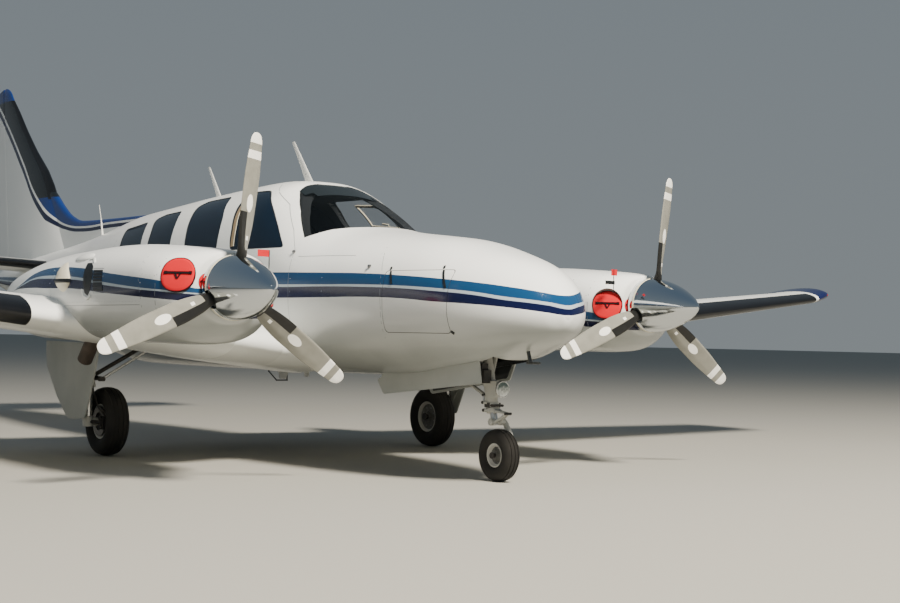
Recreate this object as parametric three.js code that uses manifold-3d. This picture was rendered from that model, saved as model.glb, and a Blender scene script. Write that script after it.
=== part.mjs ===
// Twin piston aircraft on its tricycle landing gear, parked, all sizes in millimetres.
// +X is the aircraft's left side, -Y its nose and +Z up. Places are worked out from the main
// axle, which is y = 0, and the ground, which is z = 0; the last lines centre the whole.
import * as THREE from 'three';
import { mergeVertices } from 'three/addons/utils/BufferGeometryUtils.js';
import Module from 'manifold-3d';

const wasm = await Module();
wasm.setup();

// Driving dimensions
const NOSE_Y = -3450;
const TAIL_Y = 6860;
const HALF_SPAN = 5985;
const HEIGHT = 3760;
const GAP = 0.3; // between pieces that rest on each other
const SEAM = 6; // between a moving panel and what it closes
const WALL = 40; // skin, frames and lining of the cabin
const COWL_WALL = 25;
const SIDES = 24; // facets round the fuselage
const COWL_SIDES = 20;
const ROOM_SIDES = 16; // facets round the hollow inside of each
const COWL_ROOM_SIDES = 14;

const WHEELBASE = 2798;
const TRACK = 2920;
const MAIN_TYRE = { radius: 250, width: 170, rim: 128, axle: 22 };
const NOSE_TYRE = { radius: 168, width: 118, rim: 78, axle: 14 };

const ENGINE_X = 1706;
const HUB = { y: -2411, z: 1181 };
const THRUST_DOWN = THREE.MathUtils.degToRad(2);
const PROP_RADIUS = 940;
const BLADE_START = { left: 6.2, right: 5.7 }; // degrees of the first blade from upright, towards +X

const WING_ROOT_Z = 750; // chord line at the centre of the aircraft
const DIHEDRAL = 0.11; // rise of the wing for each unit of span

// Finishes
const PAINT = new THREE.MeshStandardMaterial({ color: 0xe6e8e6, roughness: 0.35, metalness: 0.1 });
const POLISHED = new THREE.MeshStandardMaterial({ color: 0xc9ced2, roughness: 0.12, metalness: 1 });
const BLADE_GREY = new THREE.MeshStandardMaterial({ color: 0x8f918b, roughness: 0.55, metalness: 0.2 });
const STEEL = new THREE.MeshStandardMaterial({ color: 0xa7abad, roughness: 0.4, metalness: 0.8 });
const CASTING = new THREE.MeshStandardMaterial({ color: 0x6d6f70, roughness: 0.7, metalness: 0.5 });
const TYRE = new THREE.MeshStandardMaterial({ color: 0x161616, roughness: 0.9, metalness: 0 });
const GLASS = new THREE.MeshStandardMaterial({ color: 0x39444c, roughness: 0.05, metalness: 0 });
const CLOTH = new THREE.MeshStandardMaterial({ color: 0xc4b79a, roughness: 0.9, metalness: 0 });
const PANEL = new THREE.MeshStandardMaterial({ color: 0x2a2a2c, roughness: 0.6, metalness: 0 });
const RED = new THREE.MeshStandardMaterial({ color: 0xd5202c, roughness: 0.8, metalness: 0 });

// Closed geometry becomes a solid with its faces turned outwards, and back
function solidOf(geometry) {
  const bare = geometry.clone();
  bare.deleteAttribute('normal');
  bare.deleteAttribute('uv');
  const merged = mergeVertices(bare, 1e-3);
  const faces = Uint32Array.from(merged.index.array);
  const place = (f) => new THREE.Vector3().fromBufferAttribute(merged.attributes.position, faces[f]);
  let volume = 0;
  for (let f = 0; f < faces.length; f += 3) {
    volume += place(f).dot(place(f + 1).cross(place(f + 2)));
  }
  const mesh = new wasm.Mesh({
    numProp: 3,
    vertProperties: Float32Array.from(merged.attributes.position.array),
    triVerts: volume < 0 ? faces.reverse() : faces,
  });
  return new wasm.Manifold(mesh);
}

function geometryOf(solid) {
  const mesh = solid.getMesh();
  const geometry = new THREE.BufferGeometry();
  geometry.setAttribute('position', new THREE.BufferAttribute(mesh.vertProperties, 3));
  geometry.setIndex(new THREE.BufferAttribute(mesh.triVerts, 1));
  geometry.computeVertexNormals();
  return geometry;
}

function joined(solids) {
  return solids.reduce((whole, next) => whole.add(next));
}

// A closed skin through rings of points, each ring with the same number of points
function loft(rings) {
  const count = rings[0].length;
  const points = rings.flat();
  const faces = [];
  for (let r = 0; r + 1 < rings.length; r += 1) {
    for (let i = 0; i < count; i += 1) {
      const a = r * count + i;
      const b = r * count + ((i + 1) % count);
      faces.push(a, b, b + count, a, b + count, a + count);
    }
  }
  for (const r of [0, rings.length - 1]) {
    const middle = new THREE.Vector3();
    rings[r].forEach((point) => middle.add(point));
    points.push(middle.divideScalar(count));
    for (let i = 0; i < count; i += 1) {
      const a = r * count + i;
      const b = r * count + ((i + 1) % count);
      faces.push(...(r === 0 ? [b, a, points.length - 1] : [a, b, points.length - 1]));
    }
  }
  const geometry = new THREE.BufferGeometry();
  geometry.setAttribute('position', new THREE.Float32BufferAttribute(points.flatMap((p) => [p.x, p.y, p.z]), 3));
  geometry.setIndex(faces);
  return solidOf(geometry);
}

// A box between two corners
function box([x0, y0, z0], [x1, y1, z1]) {
  const geometry = new THREE.BoxGeometry(x1 - x0, y1 - y0, z1 - z0);
  geometry.translate((x0 + x1) / 2, (y0 + y1) / 2, (z0 + z1) / 2);
  return solidOf(geometry);
}

// A round bar between two points, of one radius or two
function bar(from, to, radius, endRadius = radius, facets = 12) {
  const start = new THREE.Vector3(...from);
  const along = new THREE.Vector3(...to).sub(start);
  const geometry = new THREE.CylinderGeometry(endRadius, radius, along.length(), facets);
  geometry.translate(0, along.length() / 2, 0);
  geometry.applyQuaternion(new THREE.Quaternion().setFromUnitVectors(new THREE.Vector3(0, 1, 0), along.normalize()));
  geometry.translate(...from);
  return solidOf(geometry);
}

// An outline in the (y, z) plane, with its corners rounded, pushed through from x0 to x1
function sideways(outline, x0, x1, corner = 0) {
  const corners = outline.map(([y, z]) => new THREE.Vector2(y, z));
  const shape = new THREE.Shape();
  corners.forEach((point, i) => {
    const before = corners[(i + corners.length - 1) % corners.length];
    const after = corners[(i + 1) % corners.length];
    const inward = point.clone().lerp(before, corner / point.distanceTo(before));
    const outward = point.clone().lerp(after, corner / point.distanceTo(after));
    if (i === 0) {
      shape.moveTo(inward.x, inward.y);
    } else {
      shape.lineTo(inward.x, inward.y);
    }
    if (corner > 0) {
      shape.quadraticCurveTo(point.x, point.y, outward.x, outward.y);
    }
  });
  const geometry = new THREE.ExtrudeGeometry(shape, { depth: x1 - x0, bevelEnabled: false, curveSegments: 3 });
  geometry.applyMatrix4(new THREE.Matrix4().makeBasis(
    new THREE.Vector3(0, 1, 0),
    new THREE.Vector3(0, 0, 1),
    new THREE.Vector3(1, 0, 0),
  ));
  geometry.translate(x0, 0, 0);
  return solidOf(geometry);
}

// A turned piece: profile points (radius, forward), forward along -Y from the centre
function turned(profile, centre, facets, tilt = 0) {
  const geometry = new THREE.LatheGeometry(profile.map(([r, s]) => new THREE.Vector2(r, s)), facets);
  geometry.rotateX(Math.PI);
  geometry.rotateX(tilt);
  geometry.translate(...centre);
  return solidOf(geometry);
}

// A turned piece on a wheel's axis, along X
function wheelTurned(profile, centre, facets) {
  const geometry = new THREE.LatheGeometry(profile.map(([r, s]) => new THREE.Vector2(r, s)), facets);
  geometry.rotateZ(Math.PI / 2);
  geometry.translate(...centre);
  return solidOf(geometry);
}

function mirrored(solid) {
  return solid.mirror([1, 0, 0]);
}

// The scene graph that the pieces are added to
const aircraft = new THREE.Group();
const placed = new THREE.Group();
aircraft.add(placed);

function piece(name, solid, material) {
  const mesh = new THREE.Mesh(geometryOf(solid), material);
  mesh.name = name;
  placed.add(mesh);
}

// A superellipse section of a body: x to each side of the centre, z from bottom to top
function sectionRing({ y, half, bottom, top, wide, upper, lower }, inset, centreX, sides) {
  const ring = [];
  for (let i = 0; i < sides; i += 1) {
    const angle = (2 * Math.PI * i) / sides;
    const c = Math.cos(angle);
    const s = Math.sin(angle);
    const power = 2 / (s > 0 ? upper : lower);
    const reach = s > 0 ? top - inset - wide : wide - bottom - inset;
    ring.push(new THREE.Vector3(
      centreX + (half - inset) * Math.sign(c) * Math.abs(c) ** power,
      y,
      wide + reach * Math.sign(s) * Math.abs(s) ** power,
    ));
  }
  return ring;
}

function sectionAt(table, y) {
  const next = Math.max(1, table.findIndex((row) => row.y >= y));
  const [a, b] = [table[next - 1], table[next]];
  const part = (y - a.y) / (b.y - a.y);
  return Object.fromEntries(Object.keys(a).map((key) => [key, THREE.MathUtils.lerp(a[key], b[key], part)]));
}

function bodySpan(table, from, to, inset = 0, centreX = 0, sides = SIDES) {
  const between = table.filter((row) => row.y > from + 1 && row.y < to - 1);
  const rows = [sectionAt(table, from), ...between, sectionAt(table, to)];
  return loft(rows.map((row) => sectionRing(row, inset, centreX, sides)));
}

// How far the body's side is from its centre at a station and height
function sideAt(table, y, z) {
  const { half, bottom, top, wide, upper, lower } = sectionAt(table, y);
  const power = z > wide ? upper : lower;
  const part = z > wide ? (z - wide) / (top - wide) : (wide - z) / (wide - bottom);
  return half * (1 - part ** power) ** (1 / power);
}

function tableOf(columns, rows) {
  return rows.map((row) => Object.fromEntries(columns.map((name, i) => [name, row[i]])));
}

// Fuselage: the sections from nose to tail
const FUSELAGE = tableOf(['y', 'half', 'bottom', 'top', 'wide', 'upper', 'lower'], [
  [NOSE_Y, 18, 1040, 1076, 1058, 2.0, 2.0],
  [-3435, 75, 985, 1135, 1060, 2.0, 2.0],
  [-3400, 150, 945, 1200, 1062, 2.0, 2.0],
  [-3300, 270, 889, 1305, 1070, 2.1, 2.1],
  [-3150, 375, 839, 1385, 1085, 2.2, 2.2],
  [-2850, 490, 753, 1478, 1120, 2.3, 2.3],
  [-2450, 565, 703, 1570, 1150, 2.4, 2.4],
  [-2150, 605, 664, 1617, 1170, 2.4, 2.5],
  [-1850, 637, 651, 1648, 1190, 2.4, 2.5],
  [-1500, 662, 646, 1830, 1210, 2.3, 2.6],
  [-1200, 680, 643, 1962, 1230, 2.4, 2.6],
  [-850, 690, 641, 2050, 1250, 2.5, 2.6],
  [-350, 692, 640, 2100, 1250, 2.6, 2.6],
  [600, 690, 632, 2098, 1250, 2.6, 2.6],
  [1500, 655, 632, 2050, 1245, 2.5, 2.6],
  [2100, 610, 636, 2000, 1240, 2.4, 2.5],
  [2700, 545, 690, 1915, 1250, 2.3, 2.4],
  [3500, 430, 830, 1825, 1290, 2.2, 2.3],
  [4300, 330, 975, 1755, 1340, 2.2, 2.2],
  [5100, 235, 1125, 1698, 1390, 2.1, 2.1],
  [5900, 145, 1290, 1640, 1430, 2.0, 2.0],
  [6420, 70, 1400, 1560, 1470, 2.0, 2.0],
]);
const CABIN_FRONT = -2100;
const CABIN_BACK = 2500;
const BODY_END = 6420;
const bodyOutside = joined([
  bodySpan(FUSELAGE, NOSE_Y, CABIN_FRONT, -GAP),
  bodySpan(FUSELAGE, CABIN_FRONT, CABIN_BACK, -GAP),
  bodySpan(FUSELAGE, CABIN_BACK, BODY_END, -GAP),
]);
const cabinRoom = bodySpan(FUSELAGE, CABIN_FRONT + WALL, CABIN_BACK - WALL, WALL, 0, ROOM_SIDES);
const cabinRoomFitted = bodySpan(
  FUSELAGE, CABIN_FRONT + WALL + GAP, CABIN_BACK - WALL - GAP, WALL + GAP, 0, ROOM_SIDES,
);

// Windows as seen from the side: front and aft ends of the sill and of the top
const WINDOWS = tableOf(['sillFront', 'sillAft', 'sill', 'topFront', 'topAft', 'top'], [
  [-1095, -440, 1535, -530, -356, 1986],
  [-165, 430, 1540, 0, 482, 1950],
  [708, 1197, 1545, 780, 1190, 1885],
  [1310, 1740, 1550, 1390, 1740, 1835],
]);
const DOOR_WINDOW = { sillFront: 1390, sillAft: 1745, sill: 1500, topFront: 1410, topAft: 1725, top: 1800 };
const WINDOW_CORNER = 45;

function windowOutline({ sillFront, sillAft, sill, topFront, topAft, top }, spread = 0) {
  return [
    [sillFront - spread, sill - spread],
    [sillAft + spread, sill - spread],
    [topAft + spread, top + spread],
    [topFront - spread, top + spread],
  ];
}

// Windshield: one wrapped pane, its base line and its aft edges as seen from the side
const WINDSHIELD = [
  [-2200, 1668],
  [-1780, 1666],
  [-1540, 1643],
  [-1310, 1590],
  [-1110, 1790],
  [-820, 1976],
  [-700, 2045],
  [-680, 2250],
  [-2200, 2250],
];

// A panel cut from the fuselage, with its hinge line just proud of the skin. The panel is drawn
// about the middle of that line, x outwards for a left panel, y along the line, and then placed.
const HINGE_PROUD = 9;
const KNUCKLE = { radius: 8, long: 44, web: 75, thick: 8, reach: 34 };

function hingeLine({ front, back }, z, side) {
  const [atFront, atBack] = [sideAt(FUSELAGE, front, z), sideAt(FUSELAGE, back, z)];
  const steps = [0.1, 0.2, 0.3, 0.4, 0.5, 0.6, 0.7, 0.8, 0.9];
  const bulge = Math.max(0, ...steps.map((part) => (
    sideAt(FUSELAGE, THREE.MathUtils.lerp(front, back, part), z) - THREE.MathUtils.lerp(atFront, atBack, part)
  )));
  const place = [side * ((atFront + atBack) / 2 + bulge + HINGE_PROUD), (front + back) / 2, z];
  const turn = THREE.MathUtils.radToDeg(Math.atan2(side * (atFront - atBack), back - front));
  return { side, onBody: (solid) => solid.rotate([0, 0, turn]).translate(place) };
}

function panelPrism(hinge, { front, back, low, top }, z, spread, corner) {
  const half = (back - front) / 2 + spread;
  const outline = [
    [-half, low - z - spread],
    [half, low - z - spread],
    [half, top - z + spread],
    [-half, top - z + spread],
  ];
  const [inner, outer] = hinge.side > 0 ? [-350, 400] : [-400, 350];
  return hinge.onBody(sideways(outline, inner, outer, corner));
}

// Knuckles of a panel's hinges: the panel's in the middle, the body's at both ends, each on a strap
function hingeSolids(hinge, places, up, room) {
  const solids = { panel: [], body: [] };
  for (const middle of places) {
    const rows = [
      ['body', -1.5, up],
      ['panel', -0.5, -up],
      ['body', 0.5, up],
    ];
    for (const [owner, step, way] of rows) {
      const start = middle + step * KNUCKLE.long + GAP;
      const end = start + KNUCKLE.long - GAP;
      const inward = -hinge.side * KNUCKLE.web;
      const [inner, outer] = [Math.min(inward, 0), Math.max(inward, 0)];
      const straight = way > 0 ? [0, KNUCKLE.thick] : [-KNUCKLE.thick, 0];
      const strap = way > 0 ? [SEAM / 2 + 1, KNUCKLE.reach] : [-KNUCKLE.reach, -SEAM / 2 - 1];
      const web = box([inner, start, straight[0]], [outer, end, straight[1]])
        .add(box([inner, start, strap[0]], [outer, end, strap[1]]));
      const barrel = bar([0, start, 0], [0, end, 0], KNUCKLE.radius, KNUCKLE.radius, 10);
      solids[owner].push(hinge.onBody(barrel), hinge.onBody(web).subtract(room));
    }
  }
  return { panel: joined(solids.panel), body: joined(solids.body) };
}

// Cabin door on the left side, hinged along its sill so that it lets down as steps
const DOOR = { front: 1240, back: 1900, low: 800, top: 1930, corner: 60 };
const doorHinge = hingeLine(DOOR, DOOR.low - SEAM / 2, 1);
const doorPrism = (spread) => panelPrism(doorHinge, DOOR, DOOR.low - SEAM / 2, spread, DOOR.corner);

// Baggage door on the right side of the nose, hinged along its top
const BAGGAGE = { front: -2860, back: -2290, low: 940, top: 1335, corner: 30 };
const baggageHinge = hingeLine(BAGGAGE, BAGGAGE.top + SEAM / 2, -1);
const baggagePrism = (spread) => panelPrism(baggageHinge, BAGGAGE, BAGGAGE.top + SEAM / 2, spread, BAGGAGE.corner);

// Nose gear well, a box up into the nose
const WELL = { half: 188, front: -2960, back: -2140, roof: 1010, wall: 12 };
const WELL_RECESS = { back: -1700, roof: 676 };

// Swept blade aerials at the middle of the cabin's roof and belly: leading edge, height and chord
// of the root and the tip
const AERIALS = tableOf(['rootY', 'rootZ', 'rootChord', 'tipY', 'tipZ', 'tipChord'], [
  [-430, 2080, 190, -110, 2430, 55],
  [1060, 2040, 170, 1330, 2340, 50],
  [-420, 650, 90, -400, 592, 60],
  [-120, 650, 210, -60, 566, 110],
]);
const AERIAL_THICK = 16;

function aerial({ rootY, rootZ, rootChord, tipY, tipZ, tipChord }) {
  const ring = (y, z, chord) => [[0, 0], [0.3, 0.5], [1, 0], [0.3, -0.5]].map(([part, aside]) => (
    new THREE.Vector3(aside * AERIAL_THICK, y + part * chord, z)
  ));
  return loft([ring(rootY, rootZ, rootChord), ring(tipY, tipZ, tipChord)]);
}

// Pitot tube under the nose: a mast down from the skin and the tube forward from its foot
const PITOT = { x: -50, mastTop: [-3120, 860], mastFoot: [-3160, 795], tubeBack: -3130, tubeFront: -3260 };

function pitot() {
  const { x, mastTop, mastFoot, tubeBack, tubeFront } = PITOT;
  return bar([x, ...mastTop], [x, ...mastFoot], 13)
    .add(bar([x, tubeBack, mastFoot[1]], [x, tubeFront, mastFoot[1]], 9));
}

function makeNose() {
  const room = bodySpan(FUSELAGE, -3300, CABIN_FRONT - 25, 32, 0, ROOM_SIDES);
  const shell = bodySpan(FUSELAGE, NOSE_Y, CABIN_FRONT - GAP).subtract(room);
  const wellBox = box(
    [-WELL.half - WELL.wall, WELL.front - WELL.wall, 600],
    [WELL.half + WELL.wall, WELL.back + WELL.wall, WELL.roof + WELL.wall],
  ).intersect(bodySpan(FUSELAGE, -3300, CABIN_FRONT - 25, 10));
  const wellSpace = box([-WELL.half, WELL.front, 500], [WELL.half, WELL.back, WELL.roof]);
  const hinges = hingeSolids(baggageHinge, [-190, 190], 1, room);
  const cut = shell.add(wellBox).subtract(wellSpace).subtract(baggagePrism(SEAM));
  piece('nose_shell', cut.add(hinges.body).add(pitot()), PAINT);
  const skin = bodySpan(FUSELAGE, -3300, CABIN_FRONT - 25).subtract(room);
  const door = skin.intersect(baggagePrism(0));
  piece('baggage_door', door.add(hinges.panel), PAINT);
}

function makeCabin() {
  const whole = bodySpan(FUSELAGE, CABIN_FRONT, CABIN_BACK);
  const wall = whole.subtract(cabinRoom);
  const windows = WINDOWS.map((row, i) => sideways(windowOutline(row), -900, i === 3 ? 0 : 900, WINDOW_CORNER));
  const screen = sideways(WINDSHIELD, -900, 900);
  const recess = box([-WELL.half, CABIN_FRONT - 1, 500], [WELL.half, WELL_RECESS.back, WELL_RECESS.roof]);
  const openings = joined([...windows, screen, doorPrism(SEAM), recess]);
  const hinges = hingeSolids(doorHinge, [-210, 210], -1, cabinRoom);
  const shell = wall.subtract(openings).add(hinges.body);
  piece('cabin_shell', shell.add(joined(AERIALS.map(aerial))), PAINT);

  const doorSkin = wall.intersect(doorPrism(0));
  const doorPane = sideways(windowOutline(DOOR_WINDOW), 0, 900, WINDOW_CORNER);
  piece('cabin_door', doorSkin.subtract(doorPane).add(hinges.panel), PAINT);
  const paneLayer = whole.subtract(bodySpan(FUSELAGE, CABIN_FRONT, CABIN_BACK, 10));
  piece('door_window', paneLayer.intersect(sideways(windowOutline(DOOR_WINDOW, -GAP), 0, 900, WINDOW_CORNER)), GLASS);
}

function makeGlazing() {
  const whole = bodySpan(FUSELAGE, CABIN_FRONT, CABIN_BACK);
  const screenLayer = whole.subtract(bodySpan(FUSELAGE, CABIN_FRONT, CABIN_BACK, 12));
  const fitted = WINDSHIELD.map(([y, z]) => [y - 0.4, z + 0.5]);
  const frontOnly = box([-900, CABIN_FRONT + 5, 1500], [900, -600, 2300]);
  piece('windshield', screenLayer.intersect(sideways(fitted, -900, 900)).intersect(frontOnly), GLASS);

  const linerLayer = cabinRoomFitted
    .subtract(bodySpan(FUSELAGE, CABIN_FRONT + 100, CABIN_BACK - 100, WALL + 8, 0, ROOM_SIDES));
  const margin = 25;
  const [first, , third, last] = WINDOWS;
  const rear = { right: last, left: third };
  for (const side of ['right', 'left']) {
    const reach = sideways([
      [first.sillFront - margin + 60, first.sill - margin],
      [rear[side].sillAft + margin, first.sill - margin],
      [rear[side].topAft + margin, rear[side].top + margin],
      [first.topAft, first.top + margin],
      [first.topFront - margin, first.top + margin],
    ], side === 'left' ? 100 : -900, side === 'left' ? 900 : -100);
    piece(`glazing_${side}`, linerLayer.intersect(reach), GLASS);
  }
}

// The tail's skins are thin, and its surfaces are hollow ahead of their hinge lines
const TAIL_SKIN = 8;
const SPAR = 24; // from a control surface's nose to the hollow

function hollowRing({ lead, hinge, trail }, thickness) {
  const chord = trail - lead;
  const radius = halfThickness((hinge - lead) / chord, thickness) * chord;
  const end = hinge - lead - radius - SPAR;
  const side = [0.05, 0.25, 0.55, 1].map((step) => {
    const along = step * end;
    return [lead + along, chord * halfThickness(along / chord, thickness) - TAIL_SKIN];
  });
  return [...side, ...side.slice().reverse().map(([along, out]) => [along, -out])];
}

function makeTailCone() {
  const outside = bodySpan(FUSELAGE, CABIN_BACK + GAP, BODY_END);
  const room = bodySpan(FUSELAGE, CABIN_BACK - 5, 5900, TAIL_SKIN, 0, ROOM_SIDES);
  const { place } = stabiliserHinge(ELEVATOR.inner);
  const reach = ELEVATOR.inner - 1.5;
  const torqueTube = bar([-reach, place.y, place.z], [reach, place.y, place.z], 14);
  piece('tail_cone', outside.subtract(room).add(torqueTube), PAINT);
}

// Half thickness of a four-digit wing section at a part of its chord
function halfThickness(part, thickness) {
  const shape = 0.2969 * Math.sqrt(part) - 0.126 * part - 0.3516 * part ** 2
    + 0.2843 * part ** 3 - 0.1015 * part ** 4;
  return 5 * thickness * shape;
}

const CHORD_PARTS = [0, 0.012, 0.05, 0.13, 0.27, 0.45, 0.65, 0.84, 1];

// Points round a wing section from its upper trailing edge by the nose to the lower one
function foilPoints(chord, thickness, camber, grow = 0) {
  const upper = CHORD_PARTS.slice().reverse();
  const lower = CHORD_PARTS.slice(1);
  const line = (part) => camber * 4 * part * (1 - part);
  return [
    ...upper.map((part) => [part * chord, chord * (line(part) + halfThickness(part, thickness)) + grow]),
    ...lower.map((part) => [part * chord, chord * (line(part) - halfThickness(part, thickness)) - grow]),
  ].map(([along, up]) => [along + (along === 0 ? -grow : 0), up]);
}

// Wing: span stations with leading edge, trailing edge, rise over the dihedral line and thickness
const WING = tableOf(['x', 'lead', 'trail', 'rise', 'thickness', 'camber'], [
  [0, -1190, 1230, 0, 0.155, 0.018],
  [640, -1260, 1150, 0, 0.155, 0.018],
  [1100, -1500, 1080, -10, 0.142, 0.016],
  [1330, -1560, 1040, -10, 0.138, 0.016],
  [2080, -1120, 910, 0, 0.145, 0.018],
  [2350, -830, 870, 0, 0.15, 0.018],
  [5700, -525, 485, 0, 0.115, 0.018],
  [5900, -480, 460, 12, 0.1, 0.012],
  [HALF_SPAN, -330, 440, 30, 0.05, 0],
]);

function wingHeight(x) {
  return WING_ROOT_Z + DIHEDRAL * x;
}

function wingLoft(grow = 0) {
  return loft(WING.map(({ x, lead, trail, rise, thickness, camber }) => (
    foilPoints(trail - lead, thickness, camber, grow)
      .map(([along, up]) => new THREE.Vector3(x, lead + along, wingHeight(x) + rise + up))
  )));
}

// A place on a flying surface: the hinge line runs at a part of the chord
const HINGE_PART = 0.76;
function wingHinge(x) {
  const row = sectionAt(WING.map((item) => ({ ...item, y: item.x })), x);
  const chord = row.trail - row.lead;
  const line = row.camber * 4 * HINGE_PART * (1 - HINGE_PART) * chord;
  return {
    place: new THREE.Vector3(x, row.lead + HINGE_PART * chord, wingHeight(x) + row.rise + line),
    radius: halfThickness(HINGE_PART, row.thickness) * chord - 3,
    end: new THREE.Vector3(x, row.trail, wingHeight(x) + row.rise),
  };
}

// The plane square to a hinge line at one station: its edge point, the way along and the way up
function squareTo(stations, place) {
  const [near, far] = [stations[0], stations[stations.length - 1]];
  const line = far.place.clone().sub(near.place).normalize();
  const edge = far.end.clone().sub(near.end);
  const part = place.clone().sub(near.end).dot(line) / edge.dot(line);
  const end = near.end.clone().addScaledVector(edge, part);
  const along = end.clone().sub(place).normalize();
  return { line, end, along, up: line.clone().cross(along) };
}

// A control surface: a half-round nose on its hinge line and flat sides to a thin edge
const EDGE_HALF = 4;

function noseAndSides({ place, radius }, { end, along, up }) {
  const arc = [90, 120, 150, 180, 210, 240, 270].map(THREE.MathUtils.degToRad);
  return [
    ...arc.map((turn) => place.clone()
      .addScaledVector(along, radius * Math.cos(turn))
      .addScaledVector(up, radius * Math.sin(turn))),
    end.clone().addScaledVector(up, -EDGE_HALF),
    end.clone().addScaledVector(up, EDGE_HALF),
  ];
}

function controlSurface(stations) {
  return loft(stations.map((station) => noseAndSides(station, squareTo(stations, station.place))));
}

// The room cut for a control surface, wider than it by the gap at each end
function surfaceRoom(stations, endGaps) {
  const rings = stations.map(({ place, radius }, i) => {
    const { line, along, up } = squareTo(stations, place);
    const start = place.clone().addScaledVector(line, i === 0 ? -endGaps[0] : endGaps[1]);
    return [[-radius - SEAM, 300], [-radius - SEAM, -300], [1200, -300], [1200, 300]]
      .map(([aft, height]) => start.clone().addScaledVector(along, aft).addScaledVector(up, height));
  });
  return loft(rings);
}

// The pins that carry a control surface, from the structure at each end up to its end face
const PIN_RADIUS = 7;

function surfacePins(stations, endGap) {
  return stations.map(({ place }, i) => {
    const { line } = squareTo(stations, place);
    const out = i === 0 ? -1 : 1;
    const face = place.clone().addScaledVector(line, out * GAP).toArray();
    return bar(face, place.clone().addScaledVector(line, out * (endGap + 14)).toArray(), PIN_RADIUS, PIN_RADIUS, 8);
  });
}

// Moving parts of the wing: name, inner and outer station
const WING_PARTS = tableOf(['name', 'inner', 'outer'], [
  ['flap_inner', 760, 1230],
  ['flap_outer', 2180, 3700],
  ['aileron', 3740, 5680],
]);
const END_GAP = 8;

function makeWings() {
  let wing = wingLoft().intersect(box([300, -3000, 0], [7000, 3000, 3000]));
  for (const { name, inner, outer } of WING_PARTS) {
    const stations = [wingHinge(inner), wingHinge(outer)];
    wing = wing.subtract(surfaceRoom(stations, [END_GAP, END_GAP])).add(joined(surfacePins(stations, END_GAP)));
    const surface = controlSurface(stations);
    piece(`${name}_left`, surface, PAINT);
    piece(`${name}_right`, mirrored(surface), PAINT);
  }
  piece('wing_left', wing.subtract(bodyOutside), PAINT);
  piece('wing_right', mirrored(wing).subtract(bodyOutside), PAINT);
}

// Nacelle: sections from the cowl's face to its pointed tail
const NACELLE = tableOf(['y', 'half', 'bottom', 'top', 'wide', 'upper', 'lower'], [
  [-2320, 212, 968, 1392, 1180, 2.0, 2.0],
  [-2300, 262, 930, 1404, 1180, 2.1, 2.1],
  [-2220, 350, 868, 1418, 1175, 2.3, 2.3],
  [-2080, 405, 822, 1432, 1168, 2.5, 2.5],
  [-1850, 428, 796, 1450, 1160, 2.6, 2.6],
  [-1200, 435, 790, 1480, 1150, 2.6, 2.6],
  [-500, 425, 795, 1462, 1150, 2.5, 2.5],
  [0, 390, 800, 1432, 1150, 2.4, 2.4],
  [500, 315, 850, 1375, 1150, 2.3, 2.3],
  [900, 215, 950, 1310, 1150, 2.2, 2.2],
  [1220, 60, 1120, 1225, 1175, 2.0, 2.0],
]);
const COWL_FRONT = -2320;
const NACELLE_END = 1220;
const LOWER_COWL_END = -330; // behind this the wing's underside closes the nacelle
const ENGINE_FACE = -2110;
const SHAFT_RADIUS = 58;
const SHAFT_END = 312; // behind the propeller's plane, in a seat in the engine's face
const EXHAUST = { x: 95, from: [-620, 830], to: [-200, 700], radius: 52, bore: 43 }; // x away from the cabin

// Round inlet with its plug on each cheek of a cowl: x from the engine's middle, how far it faces
// outwards from straight ahead and how far it looks up
const INLET = { x: 295, y: -2230, z: 1249, radius: 110, turn: 0.83, rise: 0.33, sunk: 48, proud: 8 };

function inletBar(centreX, cheek, from, to, radius) {
  const level = Math.cos(INLET.rise);
  const dir = new THREE.Vector3(
    cheek * Math.sin(INLET.turn) * level,
    -Math.cos(INLET.turn) * level,
    Math.sin(INLET.rise),
  );
  const middle = new THREE.Vector3(centreX + cheek * INLET.x, INLET.y, INLET.z);
  const at = (along) => middle.clone().addScaledVector(dir, along).toArray();
  return bar(at(from), at(to), radius, radius, 20);
}

// A point on a propeller's tilted axis, ahead of its plane
function aheadOf(centreX, distance) {
  return [
    centreX,
    HUB.y - Math.cos(THRUST_DOWN) * distance,
    HUB.z - Math.sin(THRUST_DOWN) * distance,
  ];
}

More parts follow.
